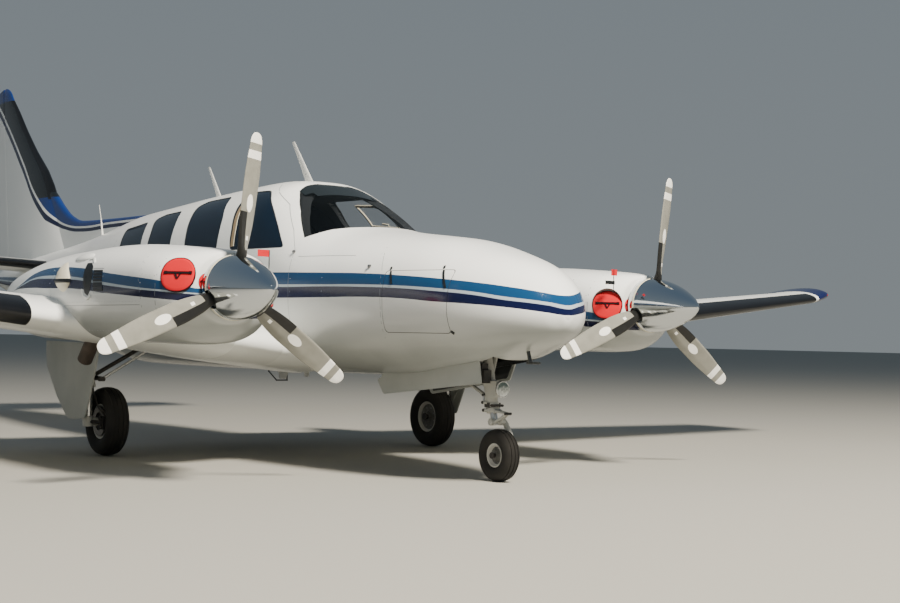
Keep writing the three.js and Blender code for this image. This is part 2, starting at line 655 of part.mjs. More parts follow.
function makeNacelles() {
  const wingTaken = wingLoft(GAP);
  for (const [name, side] of [['left', 1], ['right', -1]]) {
    const centre = side * ENGINE_X;
    const taken = side > 0 ? wingTaken : mirrored(wingTaken);
    const outside = bodySpan(NACELLE, COWL_FRONT, NACELLE_END, 0, centre, COWL_SIDES);
    const room = bodySpan(NACELLE, COWL_FRONT + 60, 900, COWL_WALL, centre, COWL_ROOM_SIDES);
    const shaftHole = bar([centre, -2600, HUB.z], [centre, -2100, HUB.z], SHAFT_RADIUS + 14);
    const lowerTail = box([centre - 600, LOWER_COWL_END, 500], [centre + 600, 1500, wingHeight(ENGINE_X) + 20]);
    const inletHoles = joined([1, -1].map((cheek) => (
      inletBar(centre, cheek, -INLET.sunk - 40, 300, INLET.radius + GAP)
    )));
    const pipe = (radius) => bar(
      [centre + side * EXHAUST.x, EXHAUST.from[0], EXHAUST.from[1]],
      [centre + side * EXHAUST.x, EXHAUST.to[0], EXHAUST.to[1]],
      radius,
    );
    const nacelle = outside.subtract(room)
      .add(pipe(EXHAUST.radius).subtract(room))
      .subtract(pipe(EXHAUST.bore))
      .subtract(inletHoles)
      .subtract(shaftHole)
      .subtract(taken)
      .subtract(lowerTail);
    const parts = nacelle.decompose().sort((a, b) => b.volume() - a.volume());
    piece(`nacelle_${name}`, parts[0], PAINT);
    piece(`inlet_plug_${name}`, inletBar(centre, -1, -INLET.sunk, INLET.proud, INLET.radius), RED);
    piece(`cheek_plug_${name}`, inletBar(centre, 1, -INLET.sunk, INLET.proud, INLET.radius), RED);

    const engineRoom = bodySpan(NACELLE, COWL_FRONT + 61, 899, COWL_WALL + GAP, centre, COWL_ROOM_SIDES);
    const block = box([centre - 370, ENGINE_FACE, 930], [centre + 370, -1090, 1370]);
    const mounts = box([centre - 500, -1420, 1080], [centre + 500, -1340, 1150]);
    const shaftSeat = bar(aheadOf(centre, -SHAFT_END - GAP), aheadOf(centre, 0), SHAFT_RADIUS + 5, SHAFT_RADIUS + 5, 16);
    const engine = block.add(mounts).intersect(engineRoom).subtract(taken).subtract(inletHoles).subtract(shaftSeat);
    piece(`engine_${name}`, engine, CASTING);
  }
}

// Propeller blade: radius from the hub, chord, thickness and turn out of the disc in degrees
const BLADE = tableOf(['radius', 'chord', 'thickness', 'turn'], [
  [60, 78, 70, 40],
  [190, 84, 62, 38],
  [270, 122, 34, 33],
  [420, 152, 21, 25],
  [600, 156, 15, 19],
  [760, 148, 11, 15],
  [880, 124, 8, 13],
  [925, 84, 6, 12],
  [PROP_RADIUS, 30, 4, 12],
]);
const BLADE_PARTS = [0, 0.06, 0.25, 0.6, 1];

function bladeSolid() {
  return loft(BLADE.map(({ radius, chord, thickness, turn }) => {
    const angle = THREE.MathUtils.degToRad(turn);
    const lead = new THREE.Vector3(-Math.cos(angle), -Math.sin(angle), 0);
    const face = new THREE.Vector3(Math.sin(angle), -Math.cos(angle), 0);
    const round = radius < 200;
    const bulge = (part) => (round
      ? Math.sqrt(Math.max(0, part * (1 - part)))
      : Math.min(0.5, 1.9 * Math.sqrt(part) * (1 - part) + 0.04));
    const outline = [
      ...BLADE_PARTS.slice().reverse().map((part) => [part, bulge(part)]),
      ...BLADE_PARTS.slice(1, -1).map((part) => [part, -bulge(part)]),
    ];
    return outline.map(([part, up]) => new THREE.Vector3(0, 0, radius)
      .addScaledVector(lead, chord * (0.45 - part))
      .addScaledVector(face, thickness * up));
  }));
}

// Spinner: radius and distance ahead of the propeller's plane, a polished dome on a back plate
const SPINNER = [
  [0, 450],
  [22, 442],
  [70, 385],
  [124, 285],
  [163, 180],
  [187, 75],
  [196, -40],
  [196, -72],
  [40, -72],
  [40, -64],
  [186, -64],
  [153, 170],
  [62, 355],
  [0, 425],
];

function makePropellers() {
  for (const [name, side] of [['left', 1], ['right', -1]]) {
    const centre = new THREE.Vector3(side * ENGINE_X, HUB.y, HUB.z);
    const ahead = (distance) => aheadOf(centre.x, distance);
    const hub = bar(ahead(-60), ahead(95), 84, 84, 16);
    const flange = bar(ahead(-SHAFT_END), ahead(-50), SHAFT_RADIUS, SHAFT_RADIUS, 16);
    const blades = [0, 120, 240].map((third) => {
      const angle = BLADE_START[name] + third;
      return bladeSolid()
        .rotate([0, angle, 0])
        .rotate([THREE.MathUtils.radToDeg(THRUST_DOWN), 0, 0])
        .translate(centre.toArray());
    });
    piece(`propeller_${name}`, joined([hub, flange, ...blades]), BLADE_GREY);

    const dome = turned(SPINNER, centre.toArray(), 20, THRUST_DOWN);
    const shanks = [0, 120, 240].map((third) => {
      const angle = THREE.MathUtils.degToRad(BLADE_START[name] + third);
      const out = new THREE.Vector3(Math.sin(angle), 0, Math.cos(angle))
        .applyAxisAngle(new THREE.Vector3(1, 0, 0), THRUST_DOWN);
      return bar(centre.toArray(), centre.clone().addScaledVector(out, 300).toArray(), 58, 58, 12);
    });
    const backHole = bar(ahead(-120), ahead(-62), SHAFT_RADIUS + GAP, SHAFT_RADIUS + GAP, 16);
    piece(`spinner_${name}`, dome.subtract(joined([...shanks, backHole])), POLISHED);
  }
}

// Fin with its dorsal strake: height stations with leading edge and hinge line
const FIN = tableOf(['z', 'lead', 'hinge', 'trail'], [
  [1480, 4233, 6090, 6480],
  [2280, 4880, 6225, 6600],
  [2490, 5170, 6262, 6640],
  [2880, 5700, 6330, 6700],
  [3600, 6170, 6460, 6845],
  [3680, 6250, 6475, TAIL_Y],
]);
const FIN_THICKNESS = 0.085;
const RUDDER = { low: 1650, high: 3680 };
const DORSAL = [[2300, 1900], [3200, 2003], [4180, 2022], [4390, 2052], [4670, 2130], [4880, 2280],
  [5400, 2280], [5400, 1600], [2300, 1600]];

function finAt(z) {
  return sectionAt(FIN.map((row) => ({ ...row, y: row.z })), z);
}

function finHinge(z) {
  const { lead, hinge, trail } = finAt(z);
  const chord = trail - lead;
  return {
    place: new THREE.Vector3(0, hinge, z),
    radius: halfThickness((hinge - lead) / chord, FIN_THICKNESS) * chord - 2,
    end: new THREE.Vector3(0, trail, z),
  };
}

const FIN_ROOM_TOP = 3450;

function makeFin() {
  const blade = loft(FIN.map(({ z, lead, trail }) => foilPoints(trail - lead, FIN_THICKNESS, 0)
    .map(([along, out]) => new THREE.Vector3(out, lead + along, z))));
  const hollow = loft([...FIN.slice(0, 4), finAt(FIN_ROOM_TOP)].map((row) => hollowRing(row, FIN_THICKNESS)
    .map(([along, out]) => new THREE.Vector3(out, along, row.z))));
  const dorsal = sideways(DORSAL, -22, 22);
  const stations = [finHinge(RUDDER.low), finHinge(RUDDER.high)];
  const [heel] = surfacePins(stations, END_GAP);
  const beacon = bar([0, 6330, 3670], [0, 6330, HEIGHT], 32, 20, 12);
  const fixed = blade.add(dorsal)
    .subtract(surfaceRoom(stations, [END_GAP, 200]))
    .subtract(hollow)
    .subtract(bodyOutside);
  piece('vertical_fin', joined([fixed, heel, beacon]), PAINT);

  const foot = noseAndSides(stations[0], squareTo(stations, stations[0].place));
  const head = noseAndSides(stations[1], {
    end: stations[1].end,
    along: new THREE.Vector3(0, 1, 0),
    up: squareTo(stations, stations[1].place).up,
  });
  piece('rudder', loft([foot, head]), PAINT);
}

// Stabiliser: span stations with leading edge, hinge line, trailing edge and height
const STABILISER = tableOf(['x', 'lead', 'hinge', 'trail', 'z'], [
  [0, 4260, 5290, 5760, 1560],
  [300, 4350, 5300, 5750, 1572],
  [2480, 4930, 5440, 5730, 1700],
  [2560, 4990, 5450, 5725, 1706],
  [2590, 5090, 5460, 5715, 1710],
]);
const STABILISER_THICKNESS = 0.09;
const ELEVATOR = { inner: 330, outer: 2440 };

function stabiliserAt(x) {
  return sectionAt(STABILISER.map((row) => ({ ...row, y: row.x })), x);
}

function stabiliserHinge(x) {
  const { lead, hinge, trail, z } = stabiliserAt(x);
  const chord = trail - lead;
  return {
    place: new THREE.Vector3(x, hinge, z),
    radius: halfThickness((hinge - lead) / chord, STABILISER_THICKNESS) * chord - 2,
    end: new THREE.Vector3(x, trail, z),
  };
}

function makeStabilisers() {
  const blade = loft(STABILISER.map(({ x, lead, trail, z }) => foilPoints(trail - lead, STABILISER_THICKNESS, 0)
    .map(([along, up]) => new THREE.Vector3(x, lead + along, z + up))));
  const roomRows = [...STABILISER.slice(0, 2), stabiliserAt(ELEVATOR.outer - SPAR)];
  const hollow = loft(roomRows.map((row) => hollowRing(row, STABILISER_THICKNESS)
    .map(([along, up]) => new THREE.Vector3(row.x, along, row.z + up))));
  const stations = [stabiliserHinge(ELEVATOR.inner), stabiliserHinge(ELEVATOR.outer)];
  const [, tipPin] = surfacePins(stations, END_GAP);
  const left = blade
    .subtract(surfaceRoom(stations, [ELEVATOR.inner, END_GAP]))
    .subtract(hollow)
    .intersect(box([60, 3000, 1000], [3000, 7000, 2200]))
    .add(tipPin);
  piece('stabiliser_left', left.subtract(bodyOutside), PAINT);
  piece('stabiliser_right', mirrored(left).subtract(bodyOutside), PAINT);
  const surface = controlSurface(stations);
  piece('elevator_left', surface, PAINT);
  piece('elevator_right', mirrored(surface), PAINT);
}

const AXLE_PLAY = 0.8;

// A tyre's closed profile: radius and place across the tread
function tyreProfile({ radius, width, rim }) {
  const half = width / 2;
  return [
    [rim, -half * 0.66],
    [rim + (radius - rim) * 0.3, -half * 0.97],
    [rim + (radius - rim) * 0.6, -half],
    [radius * 0.94, -half * 0.8],
    [radius * 0.99, -half * 0.42],
    [radius, 0],
    [radius * 0.99, half * 0.42],
    [radius * 0.94, half * 0.8],
    [rim + (radius - rim) * 0.6, half],
    [rim + (radius - rim) * 0.3, half * 0.97],
    [rim, half * 0.66],
    [rim, -half * 0.66],
  ];
}

// A wheel: hub, dished disc and the bead seat that the tyre sits on
function rimProfile({ width, rim, axle }) {
  const half = width * 0.33;
  const seat = rim - GAP;
  const bore = axle + AXLE_PLAY;
  return [
    [bore, -half],
    [bore + 20, -half],
    [bore + 26, -half * 0.45],
    [seat - 26, -half * 0.4],
    [seat - 12, -half],
    [seat, -half],
    [seat, half],
    [seat - 12, half],
    [seat - 26, half * 0.4],
    [bore + 26, half * 0.45],
    [bore + 20, half],
    [bore, half],
    [bore, -half],
  ];
}

const WHEEL_FACETS = 24;

function makeWheels() {
  const wheels = [
    ['main_left', MAIN_TYRE, [TRACK / 2, 0, MAIN_TYRE.radius]],
    ['main_right', MAIN_TYRE, [-TRACK / 2, 0, MAIN_TYRE.radius]],
    ['nose', NOSE_TYRE, [0, -WHEELBASE, NOSE_TYRE.radius]],
  ];
  for (const [name, size, centre] of wheels) {
    piece(`${name}_tyre`, wheelTurned(tyreProfile(size), centre, WHEEL_FACETS), TYRE);
    piece(`${name}_rim`, wheelTurned(rimProfile(size), centre, WHEEL_FACETS), STEEL);
  }
}

// Main legs: an oleo strut outboard of the wheel, its axle, links, brace and door
const LEG = { x: 1608, housing: 44, piston: 29, split: 500, linkY: 78 };

function makeMainGear() {
  const wingTaken = wingLoft(GAP);
  const axleZ = MAIN_TYRE.radius;
  const upper = bar([LEG.x, 0, LEG.split], [LEG.x, 0, 1050], LEG.housing, LEG.housing, 18);
  const piston = bar([LEG.x, 0, axleZ - 30], [LEG.x, 0, LEG.split + 5], LEG.piston, LEG.piston, 16);
  const foot = box([LEG.x - 34, -36, axleZ - 36], [LEG.x + 34, 36, axleZ + 36]);
  const axle = bar([LEG.x, 0, axleZ], [TRACK / 2 - 75, 0, axleZ], MAIN_TYRE.axle, MAIN_TYRE.axle, 16);
  const cap = bar([TRACK / 2 - 84, 0, axleZ], [TRACK / 2 - 66, 0, axleZ], 34, 34, 16);
  const links = [
    bar([LEG.x, 30, LEG.split + 20], [LEG.x, 150, 400], 16, 12, 8),
    bar([LEG.x, 150, 400], [LEG.x, 26, axleZ + 20], 12, 16, 8),
    bar([LEG.x - 30, 150, 400], [LEG.x + 30, 150, 400], 10, 10, 8),
  ];
  const brace = [
    bar([LEG.x, -LEG.linkY, 570], [1130, -LEG.linkY, 870], 17, 17, 10),
    bar([LEG.x, -LEG.linkY, 570], [LEG.x, 0, 570], 22, 22, 10),
  ];
  const doorLinks = [600, 720].map((z) => bar([LEG.x, 0, z], [1655, 0, z], 12, 12, 8));
  const leg = joined([upper, piston, foot, axle, cap, ...links, ...brace, ...doorLinks]).subtract(wingTaken);
  const whole = leg.decompose().sort((a, b) => b.volume() - a.volume())[0];
  piece('main_leg_left', whole, PAINT);
  piece('main_leg_right', mirrored(whole), PAINT);

  const doorOutlines = [[-250, 815], [-205, 560], [-120, 280], [170, 262], [330, 560], [700, 800]];
  const door = sideways(doorOutlines, 1655 + GAP, 1667).subtract(wingTaken);
  piece('main_gear_door_left', door, PAINT);
  piece('main_gear_door_right', mirrored(door), PAINT);
}

// Nose leg: a raked housing with a steered piston, fork and links below it
const STEER = { top: new THREE.Vector3(0, -2590, 1000), low: new THREE.Vector3(0, -2757.5, 330) };
const steerAxis = STEER.top.clone().sub(STEER.low).normalize();
const NOSE_LEG = { housing: 40, collar: 46, piston: 24, split: 468, fork: 82, arm: 14, crown: 366 };
const TRUNNION_Z = 950;
const DRAG_PIVOT = { y: -2175, z: 735 };
const LINK_KNEE = { z: 436, ahead: 150 };

function onSteer(z, ahead = 0, across = 0) {
  const part = (z - STEER.low.z) / steerAxis.z;
  return [across, STEER.low.y + steerAxis.y * part - ahead, z];
}

function makeNoseGear() {
  const housing = bar(onSteer(NOSE_LEG.split), onSteer(985), NOSE_LEG.housing, NOSE_LEG.housing, 18);
  const reach = WELL.half - GAP;
  const trunnionY = onSteer(TRUNNION_Z)[1];
  const trunnion = bar([-reach, trunnionY, TRUNNION_Z], [reach, trunnionY, TRUNNION_Z], 26, 26, 14);
  const legs = [-1, 1].map((side) => bar(onSteer(640, 12), [side * 150, trunnionY, TRUNNION_Z], 15, 15, 10));
  const { y, z } = DRAG_PIVOT;
  const drag = [bar(onSteer(515), [0, y, z], 13, 13, 10), bar([-reach, y, z], [reach, y, z], 18, 18, 10)];
  const lampArm = bar(onSteer(590), onSteer(590, 84), 14, 14, 10);
  piece('nose_gear_strut', joined([housing, trunnion, ...legs, ...drag, lampArm]), PAINT);

  const lamp = [
    [0, 0],
    [18, 0],
    [46, 26],
    [50, 52],
    [0, 56],
  ];
  const lampPlace = onSteer(590, 84 + GAP);
  piece('landing_light', turned(lamp, lampPlace, 20), POLISHED);

  const collarTop = NOSE_LEG.split - 0.8;
  const axleZ = NOSE_TYRE.radius;
  const collar = bar(onSteer(collarTop - 46), onSteer(collarTop), NOSE_LEG.collar, NOSE_LEG.collar, 18);
  const piston = bar(onSteer(NOSE_LEG.crown), onSteer(collarTop - 20), NOSE_LEG.piston, NOSE_LEG.piston, 16);
  const crownZ = NOSE_LEG.crown + 12;
  const crown = bar(onSteer(crownZ, 0, -42), onSteer(crownZ, 0, NOSE_LEG.fork), 24);
  const knee = (across) => onSteer(LINK_KNEE.z, LINK_KNEE.ahead, across);
  const links = [
    bar(onSteer(collarTop - 24, 40), knee(0), 15, 11, 8),
    bar(knee(0), onSteer(crownZ - 4, 15), 11, 15, 8),
    bar(knee(-26), knee(26), 9, 9, 8),
  ];
  const elbow = [NOSE_LEG.fork, -WHEELBASE - 30, axleZ + 100];
  const arm = [
    bar(onSteer(crownZ, 0, NOSE_LEG.fork), elbow, 18, 17, 12),
    bar(elbow, [NOSE_LEG.fork, -WHEELBASE, axleZ], 17, 16, 12),
  ];
  const axleEnd = NOSE_TYRE.width / 2 + 6;
  const axle = bar([-axleEnd, -WHEELBASE, axleZ], [NOSE_LEG.fork + 16, -WHEELBASE, axleZ], NOSE_TYRE.axle, NOSE_TYRE.axle, 16);
  piece('nose_gear_fork', joined([collar, piston, crown, ...links, ...arm, axle]), STEEL);

  const doorOutline = [[-2868, 830], [-2896, 640], [-1755, 517], [-1674, 615], [-1735, 636], [-1735, 740]];
  for (const [name, side] of [['left', 1], ['right', -1]]) {
    const inner = side > 0 ? 196 : -208;
    piece(`nose_gear_door_${name}`, sideways(doorOutline, inner, inner + 12).subtract(bodyOutside), PAINT);
  }
}

// Cabin fittings: floor, panel with its shroud, and three pairs of seats
const FLOOR = { top: 860, thick: 20, front: -1640, back: 2200 };
const DOOR_SWING = 92; // room round the hinge line for the door's lower edge

function makeFloor() {
  const board = box([-700, FLOOR.front, FLOOR.top - FLOOR.thick], [700, FLOOR.back, FLOOR.top]);
  const nearDoor = doorPrism(12)
    .subtract(bodySpan(FUSELAGE, CABIN_FRONT, CABIN_BACK, WALL + 8));
  const doorSwing = doorHinge.onBody(bar([0, -350, 0], [0, 350, 0], DOOR_SWING));
  piece('cabin_floor', board.intersect(cabinRoomFitted).subtract(nearDoor).subtract(doorSwing), CLOTH);
}

function makePanel() {
  const face = box([-700, -1660, 1040], [700, -1600, 1600]);
  const shroud = box([-700, -1960, 1572], [700, -1560, 1600]);
  piece('instrument_panel', face.add(shroud).intersect(cabinRoomFitted), PANEL);
}

// Seat pairs: name, front of the cushion, which way the back faces, half distance between seats
const SEATS = tableOf(['name', 'y', 'facing', 'centre'], [
  ['seats_front', -1010, 1, 300],
  ['seats_middle', 300, -1, 300],
  ['seats_rear', 1050, 1, 265],
]);
const SEAT = { half: 225, deep: 470, seatZ: 1130, cushion: 120, backTop: 1690, backThick: 110 };

function makeSeats() {
  for (const { name, y, facing, centre } of SEATS) {
    const rail = box([-centre - 150, y + 150, FLOOR.top + GAP], [centre + 150, y + 230, FLOOR.top + 40]);
    const solids = [rail];
    for (const side of [-1, 1]) {
      const x = side * centre;
      const backFront = facing > 0 ? y + SEAT.deep - SEAT.backThick : y;
      solids.push(
        box([x - 150, y + 80, FLOOR.top + 5], [x + 150, y + 390, SEAT.seatZ - SEAT.cushion + 5]),
        box([x - SEAT.half, y, SEAT.seatZ - SEAT.cushion], [x + SEAT.half, y + SEAT.deep, SEAT.seatZ]),
        box([x - SEAT.half, backFront, SEAT.seatZ - 20], [x + SEAT.half, backFront + SEAT.backThick, SEAT.backTop]),
      );
    }
    piece(name, joined(solids), CLOTH);
  }
}

makeNose();
makeCabin();
makeGlazing();
makeTailCone();
makeWings();
makeNacelles();
makePropellers();
makeFin();
makeStabilisers();
makeWheels();
makeMainGear();
makeNoseGear();
makeFloor();
makePanel();
makeSeats();

// The whole is centred on its length, with the ground at z = 0
placed.position.y = -(NOSE_Y + TAIL_Y) / 2;

export default aircraft;
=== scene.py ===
"""The looks of a twin piston aircraft parked on its gear: smooth skins in its blue and navy
stripes, glass, de-icing boots, polished spinners, wheels and the fittings on its skin. Every piece
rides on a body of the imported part. Tables are in millimetres from the middle of the main axle."""

import math

import bmesh
import bpy
import numpy as np
from mathutils import Matrix, Vector


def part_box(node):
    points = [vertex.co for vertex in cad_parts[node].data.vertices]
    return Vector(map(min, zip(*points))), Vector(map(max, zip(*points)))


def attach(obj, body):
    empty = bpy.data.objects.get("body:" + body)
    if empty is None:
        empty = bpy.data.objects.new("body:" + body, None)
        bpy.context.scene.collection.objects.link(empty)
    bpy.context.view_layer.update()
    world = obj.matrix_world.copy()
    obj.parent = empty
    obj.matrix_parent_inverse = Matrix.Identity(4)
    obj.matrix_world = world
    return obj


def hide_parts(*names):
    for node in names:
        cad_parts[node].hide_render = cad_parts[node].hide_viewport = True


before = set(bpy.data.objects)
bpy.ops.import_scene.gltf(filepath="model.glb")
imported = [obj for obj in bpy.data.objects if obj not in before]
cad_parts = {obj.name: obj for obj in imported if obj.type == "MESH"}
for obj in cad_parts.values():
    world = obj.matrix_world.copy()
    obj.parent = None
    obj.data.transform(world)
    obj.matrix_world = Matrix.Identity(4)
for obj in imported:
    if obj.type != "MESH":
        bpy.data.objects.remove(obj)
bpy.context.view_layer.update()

# Camera
# It stands ahead of the right wing at chest height, with the lens that was solved from the wheels,
# propellers, left wing tip, nose and fin.
CAMERA_AT = Vector((-6.004, -12.194, 0.894))
CAMERA_TURN = 0.6285  # radians from +Y towards +X
CAMERA_RISE = 0.0257
CAMERA_ROLL = 0.0217
camera_data = bpy.data.cameras.new("camera")
camera_data.sensor_width = 36
camera_data.lens = 60.83
camera_data.clip_end = 1000
camera = bpy.data.objects.new("camera", camera_data)
bpy.context.scene.collection.objects.link(camera)
ahead = Vector((
    math.cos(CAMERA_RISE) * math.sin(CAMERA_TURN),
    math.cos(CAMERA_RISE) * math.cos(CAMERA_TURN),
    math.sin(CAMERA_RISE),
))
level = Vector((math.cos(CAMERA_TURN), -math.sin(CAMERA_TURN), 0))
above = level.cross(ahead)
camera_right = math.cos(CAMERA_ROLL) * level + math.sin(CAMERA_ROLL) * above
camera_up = math.cos(CAMERA_ROLL) * above - math.sin(CAMERA_ROLL) * level
camera.matrix_world = Matrix.Translation(CAMERA_AT) @ Matrix(
    (camera_right, camera_up, -ahead)
).transposed().to_4x4()
bpy.context.scene.camera = camera


# Floor and light
# A plain pale floor under a soft sky. The main light is high over the left side, so that the tops
# are bright and the side near the camera lies in soft shade, with a weak fill from the camera.
def colour(hex_value):
    """A colour written as it looks on a screen, as the linear one that the shaders take."""
    parts = [int(hex_value[i:i + 2], 16) / 255 for i in (0, 2, 4)]
    linear = [p / 12.92 if p <= 0.04045 else ((p + 0.055) / 1.055) ** 2.4 for p in parts]
    return (*linear, 1)


class Look:
    """A material with its shader, and short ways to add the few kinds of node used here."""

    def __init__(self, name, base, roughness, **inputs):
        self.material = bpy.data.materials.new(name)
        self.material.use_nodes = True
        self.tree = self.material.node_tree
        self.shader = self.tree.nodes["Principled BSDF"]
        self.shader.inputs["Base Color"].default_value = colour(base)
        self.shader.inputs["Roughness"].default_value = roughness
        for label, value in inputs.items():
            self.shader.inputs[label.replace("_", " ")].default_value = value

    def node(self, kind, **settings):
        made = self.tree.nodes.new(kind)
        for label, value in settings.items():
            setattr(made, label, value)
        return made

    def put(self, value, socket):
        if isinstance(value, bpy.types.NodeSocket):
            self.tree.links.new(value, socket)
        else:
            socket.default_value = value

    def drive(self, label, value):
        """Feeds one of the shader's own sockets."""
        self.put(value, self.shader.inputs[label])

    def uneven(self, tone, spread, least=0.0):
        """Roughness that drifts with a tone."""
        self.drive("Roughness", self.math("ADD", self.math("MULTIPLY", tone, spread), least))

    def math(self, operation, first, second=0.0):
        made = self.node("ShaderNodeMath", operation=operation)
        self.put(first, made.inputs[0])
        self.put(second, made.inputs[1])
        return made.outputs[0]

    def mix(self, share, first, second):
        made = self.node("ShaderNodeMix", data_type="RGBA")
        self.put(share, made.inputs["Factor"])
        self.put(first, made.inputs[6])
        self.put(second, made.inputs[7])
        return made.outputs[2]

    def place(self):
        """The x, y and z of a point in the row frame, since every piece has its origin there."""
        if not hasattr(self, "axes"):
            coordinates = self.node("ShaderNodeTexCoord")
            parts = self.node("ShaderNodeSeparateXYZ")
            self.tree.links.new(coordinates.outputs["Object"], parts.inputs[0])
            self.point = coordinates.outputs["Object"]
            self.axes = [parts.outputs[i] for i in range(3)]
        return self.axes

    def noise(self, scale, detail=3.0):
        self.place()
        made = self.node("ShaderNodeTexNoise")
        self.tree.links.new(self.point, made.inputs["Vector"])
        made.inputs["Scale"].default_value = scale
        made.inputs["Detail"].default_value = detail
        return made.outputs[0]

    def bump(self, height, strength, distance):
        made = self.node("ShaderNodeBump")
        made.inputs["Strength"].default_value = strength
        made.inputs["Distance"].default_value = distance
        self.tree.links.new(height, made.inputs["Height"])
        self.tree.links.new(made.outputs[0], self.shader.inputs["Normal"])


def mottled(name, dark, light, roughness, scale, detail, grit=None, **inputs):
    """A finish whose colour drifts between two tones. Its grit is a fine bump: the noise's scale and
    detail, the strength and the height in metres."""
    look = Look(name, dark, roughness, **inputs)
    look.tone = look.noise(scale, detail)
    look.drive("Base Color", look.mix(look.tone, colour(dark), colour(light)))
    if grit:
        look.bump(look.noise(*grit[:2]), *grit[2:])
    return look


FLOOR_REACH = 400
floor_mesh = bpy.data.meshes.new("floor")
floor_mesh.from_pydata(
    [(x * FLOOR_REACH, y * FLOOR_REACH, 0) for x, y in ((-1, -1), (1, -1), (1, 1), (-1, 1))],
    [],
    [(0, 1, 2, 3)],
)
floor = bpy.data.objects.new("floor", floor_mesh)
bpy.context.scene.collection.objects.link(floor)
floor_mesh.materials.append(Look("pale floor", "9d9b93", 0.85).material)

sky = bpy.data.worlds.new("soft sky")
bpy.context.scene.world = sky
sky.use_nodes = True
sky_nodes, sky_links = sky.node_tree.nodes, sky.node_tree.links
sky_direction = sky_nodes.new("ShaderNodeTexCoord")
sky_height = sky_nodes.new("ShaderNodeSeparateXYZ")
sky_ramp = sky_nodes.new("ShaderNodeValToRGB")
sky_links.new(sky_direction.outputs["Generated"], sky_height.inputs[0])
sky_links.new(sky_height.outputs["Z"], sky_ramp.inputs[0])
sky_links.new(sky_ramp.outputs[0], sky_nodes["Background"].inputs["Color"])
sky_ramp.color_ramp.elements[0].color = colour("c3cdd2")
sky_ramp.color_ramp.elements[1].color = colour("8fa6bc")
sky_nodes["Background"].inputs["Strength"].default_value = 0.4

# Lights: name, place, size in metres, watts, colour, whether bright metal mirrors it
for light_name, light_place, light_size, light_power, light_colour, mirrored in (
    ("main", (0.5, -17.5, 17), 4, 15000, "fff6e8", False),
    ("fill", (-16, 2, 12), 9, 400, "eef3ff", False),
    ("glint", (-2, -17.5, 17.5), 0.5, 150, "fff6e8", True),
):
    light_data = bpy.data.lights.new(light_name, "AREA")
    light_data.shape = "DISK"
    light_data.size = light_size
    light_data.energy = light_power
    light_data.color = colour(light_colour)[:3]
    light = bpy.data.objects.new(light_name, light_data)
    light.location = light_place
    light.rotation_euler = (Vector((0, -1, 1)) - Vector(light_place)).to_track_quat("-Z", "Y").to_euler()
    light.visible_glossy = mirrored
    bpy.context.scene.collection.objects.link(light)


# Nose, cabin and tail skins
# One smooth aluminium body, riveted in three lengths and painted white. Each length is a shell
# with its doors, windows and wheel well cut out, and its normals follow the whole body's curve.
wheel_low, wheel_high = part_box("main_left_rim")
AXLE_Y = (wheel_low.y + wheel_high.y) / 2
MM = 0.001


def at(x, y, z):
    """A point given in millimetres from the main axle, in the row frame in metres."""
    return Vector((x * MM, AXLE_Y + y * MM, z * MM))


def circle(count):
    """Cosines and sines at even steps of a turn."""
    return [(math.cos(math.tau * k / count), math.sin(math.tau * k / count)) for k in range(count)]


class Shape:
    """Points and faces of one piece as they are added, with each face's place in its materials."""

    def __init__(self):
        self.points = []
        self.faces = []
        self.paints = []

    def add(self, points, faces, paint=0):
        start = len(self.points)
        self.points += [tuple(p) for p in points]
        self.faces += [tuple(start + i for i in face) for face in faces]
        self.paints += list(paint) if isinstance(paint, (list, tuple)) else [paint] * len(faces)
        return self

    def join(self, *others):
        for other in others:
            self.add(other.points, other.faces, other.paints)
        return self

    def hoop(self, rings, paint=0):
        """A skin over rings of equal count whose last ring joins the first."""
        count, size = len(rings), len(rings[0])
        faces = []
        for k in range(count):
            here, there = k * size, (k + 1) % count * size
            faces += [
                (here + i, here + (i + 1) % size, there + (i + 1) % size, there + i) for i in range(size)
            ]
        return self.add([p for ring in rings for p in ring], faces, paint)

    def rings(self, rings, paint=0):
        """A closed skin over rings of equal count, each end closed by a fan to its middle."""
        count = len(rings[0])
        points = [p for ring in rings for p in ring]
        ends = (0, len(rings) - 1)
        points += [sum((Vector(p) for p in rings[end]), Vector()) / count for end in ends]
        faces = []
        for row in range(len(rings) - 1):
            for i in range(count):
                a, b = row * count + i, row * count + (i + 1) % count
                faces.append((a, b, b + count, a + count))
        for cap, end in enumerate(ends):
            hub = len(rings) * count + cap
            for i in range(count):
                a, b = end * count + i, end * count + (i + 1) % count
                faces.append((b, a, hub) if cap == 0 else (a, b, hub))
        if callable(paint):
            middle = [sum((Vector(points[i]) for i in face), Vector()) / len(face) for face in faces]
            paint = [paint(m) for m in middle]
        return self.add(points, faces, paint)

    def object(self, name, materials, crease=35):
        """The piece as a mesh that faces outwards, smooth up to the crease angle in degrees."""
        mesh = bpy.data.meshes.new(name)
        mesh.from_pydata(self.points, [], self.faces)
        for look in materials:
            mesh.materials.append(look.material)
        mesh.polygons.foreach_set("material_index", self.paints)
        work = bmesh.new()
        work.from_mesh(mesh)
        bmesh.ops.remove_doubles(work, verts=work.verts, dist=0.00002)
        bmesh.ops.dissolve_degenerate(work, edges=work.edges, dist=0.00001)
        bmesh.ops.recalc_face_normals(work, faces=work.faces)
        work.to_mesh(mesh)
        work.free()
        mesh.polygons.foreach_set("use_smooth", [True] * len(mesh.polygons))
        mesh.set_sharp_from_angle(angle=math.radians(crease))
        made = bpy.data.objects.new(name, mesh)
        bpy.context.scene.collection.objects.link(made)
        return made

    def piece(self, name, materials, slot, *nodes, body="airframe", crease=40):
        """The shape as a finished piece on its body."""
        return settle(self.object(name, materials, crease), slot, *nodes, body=body)


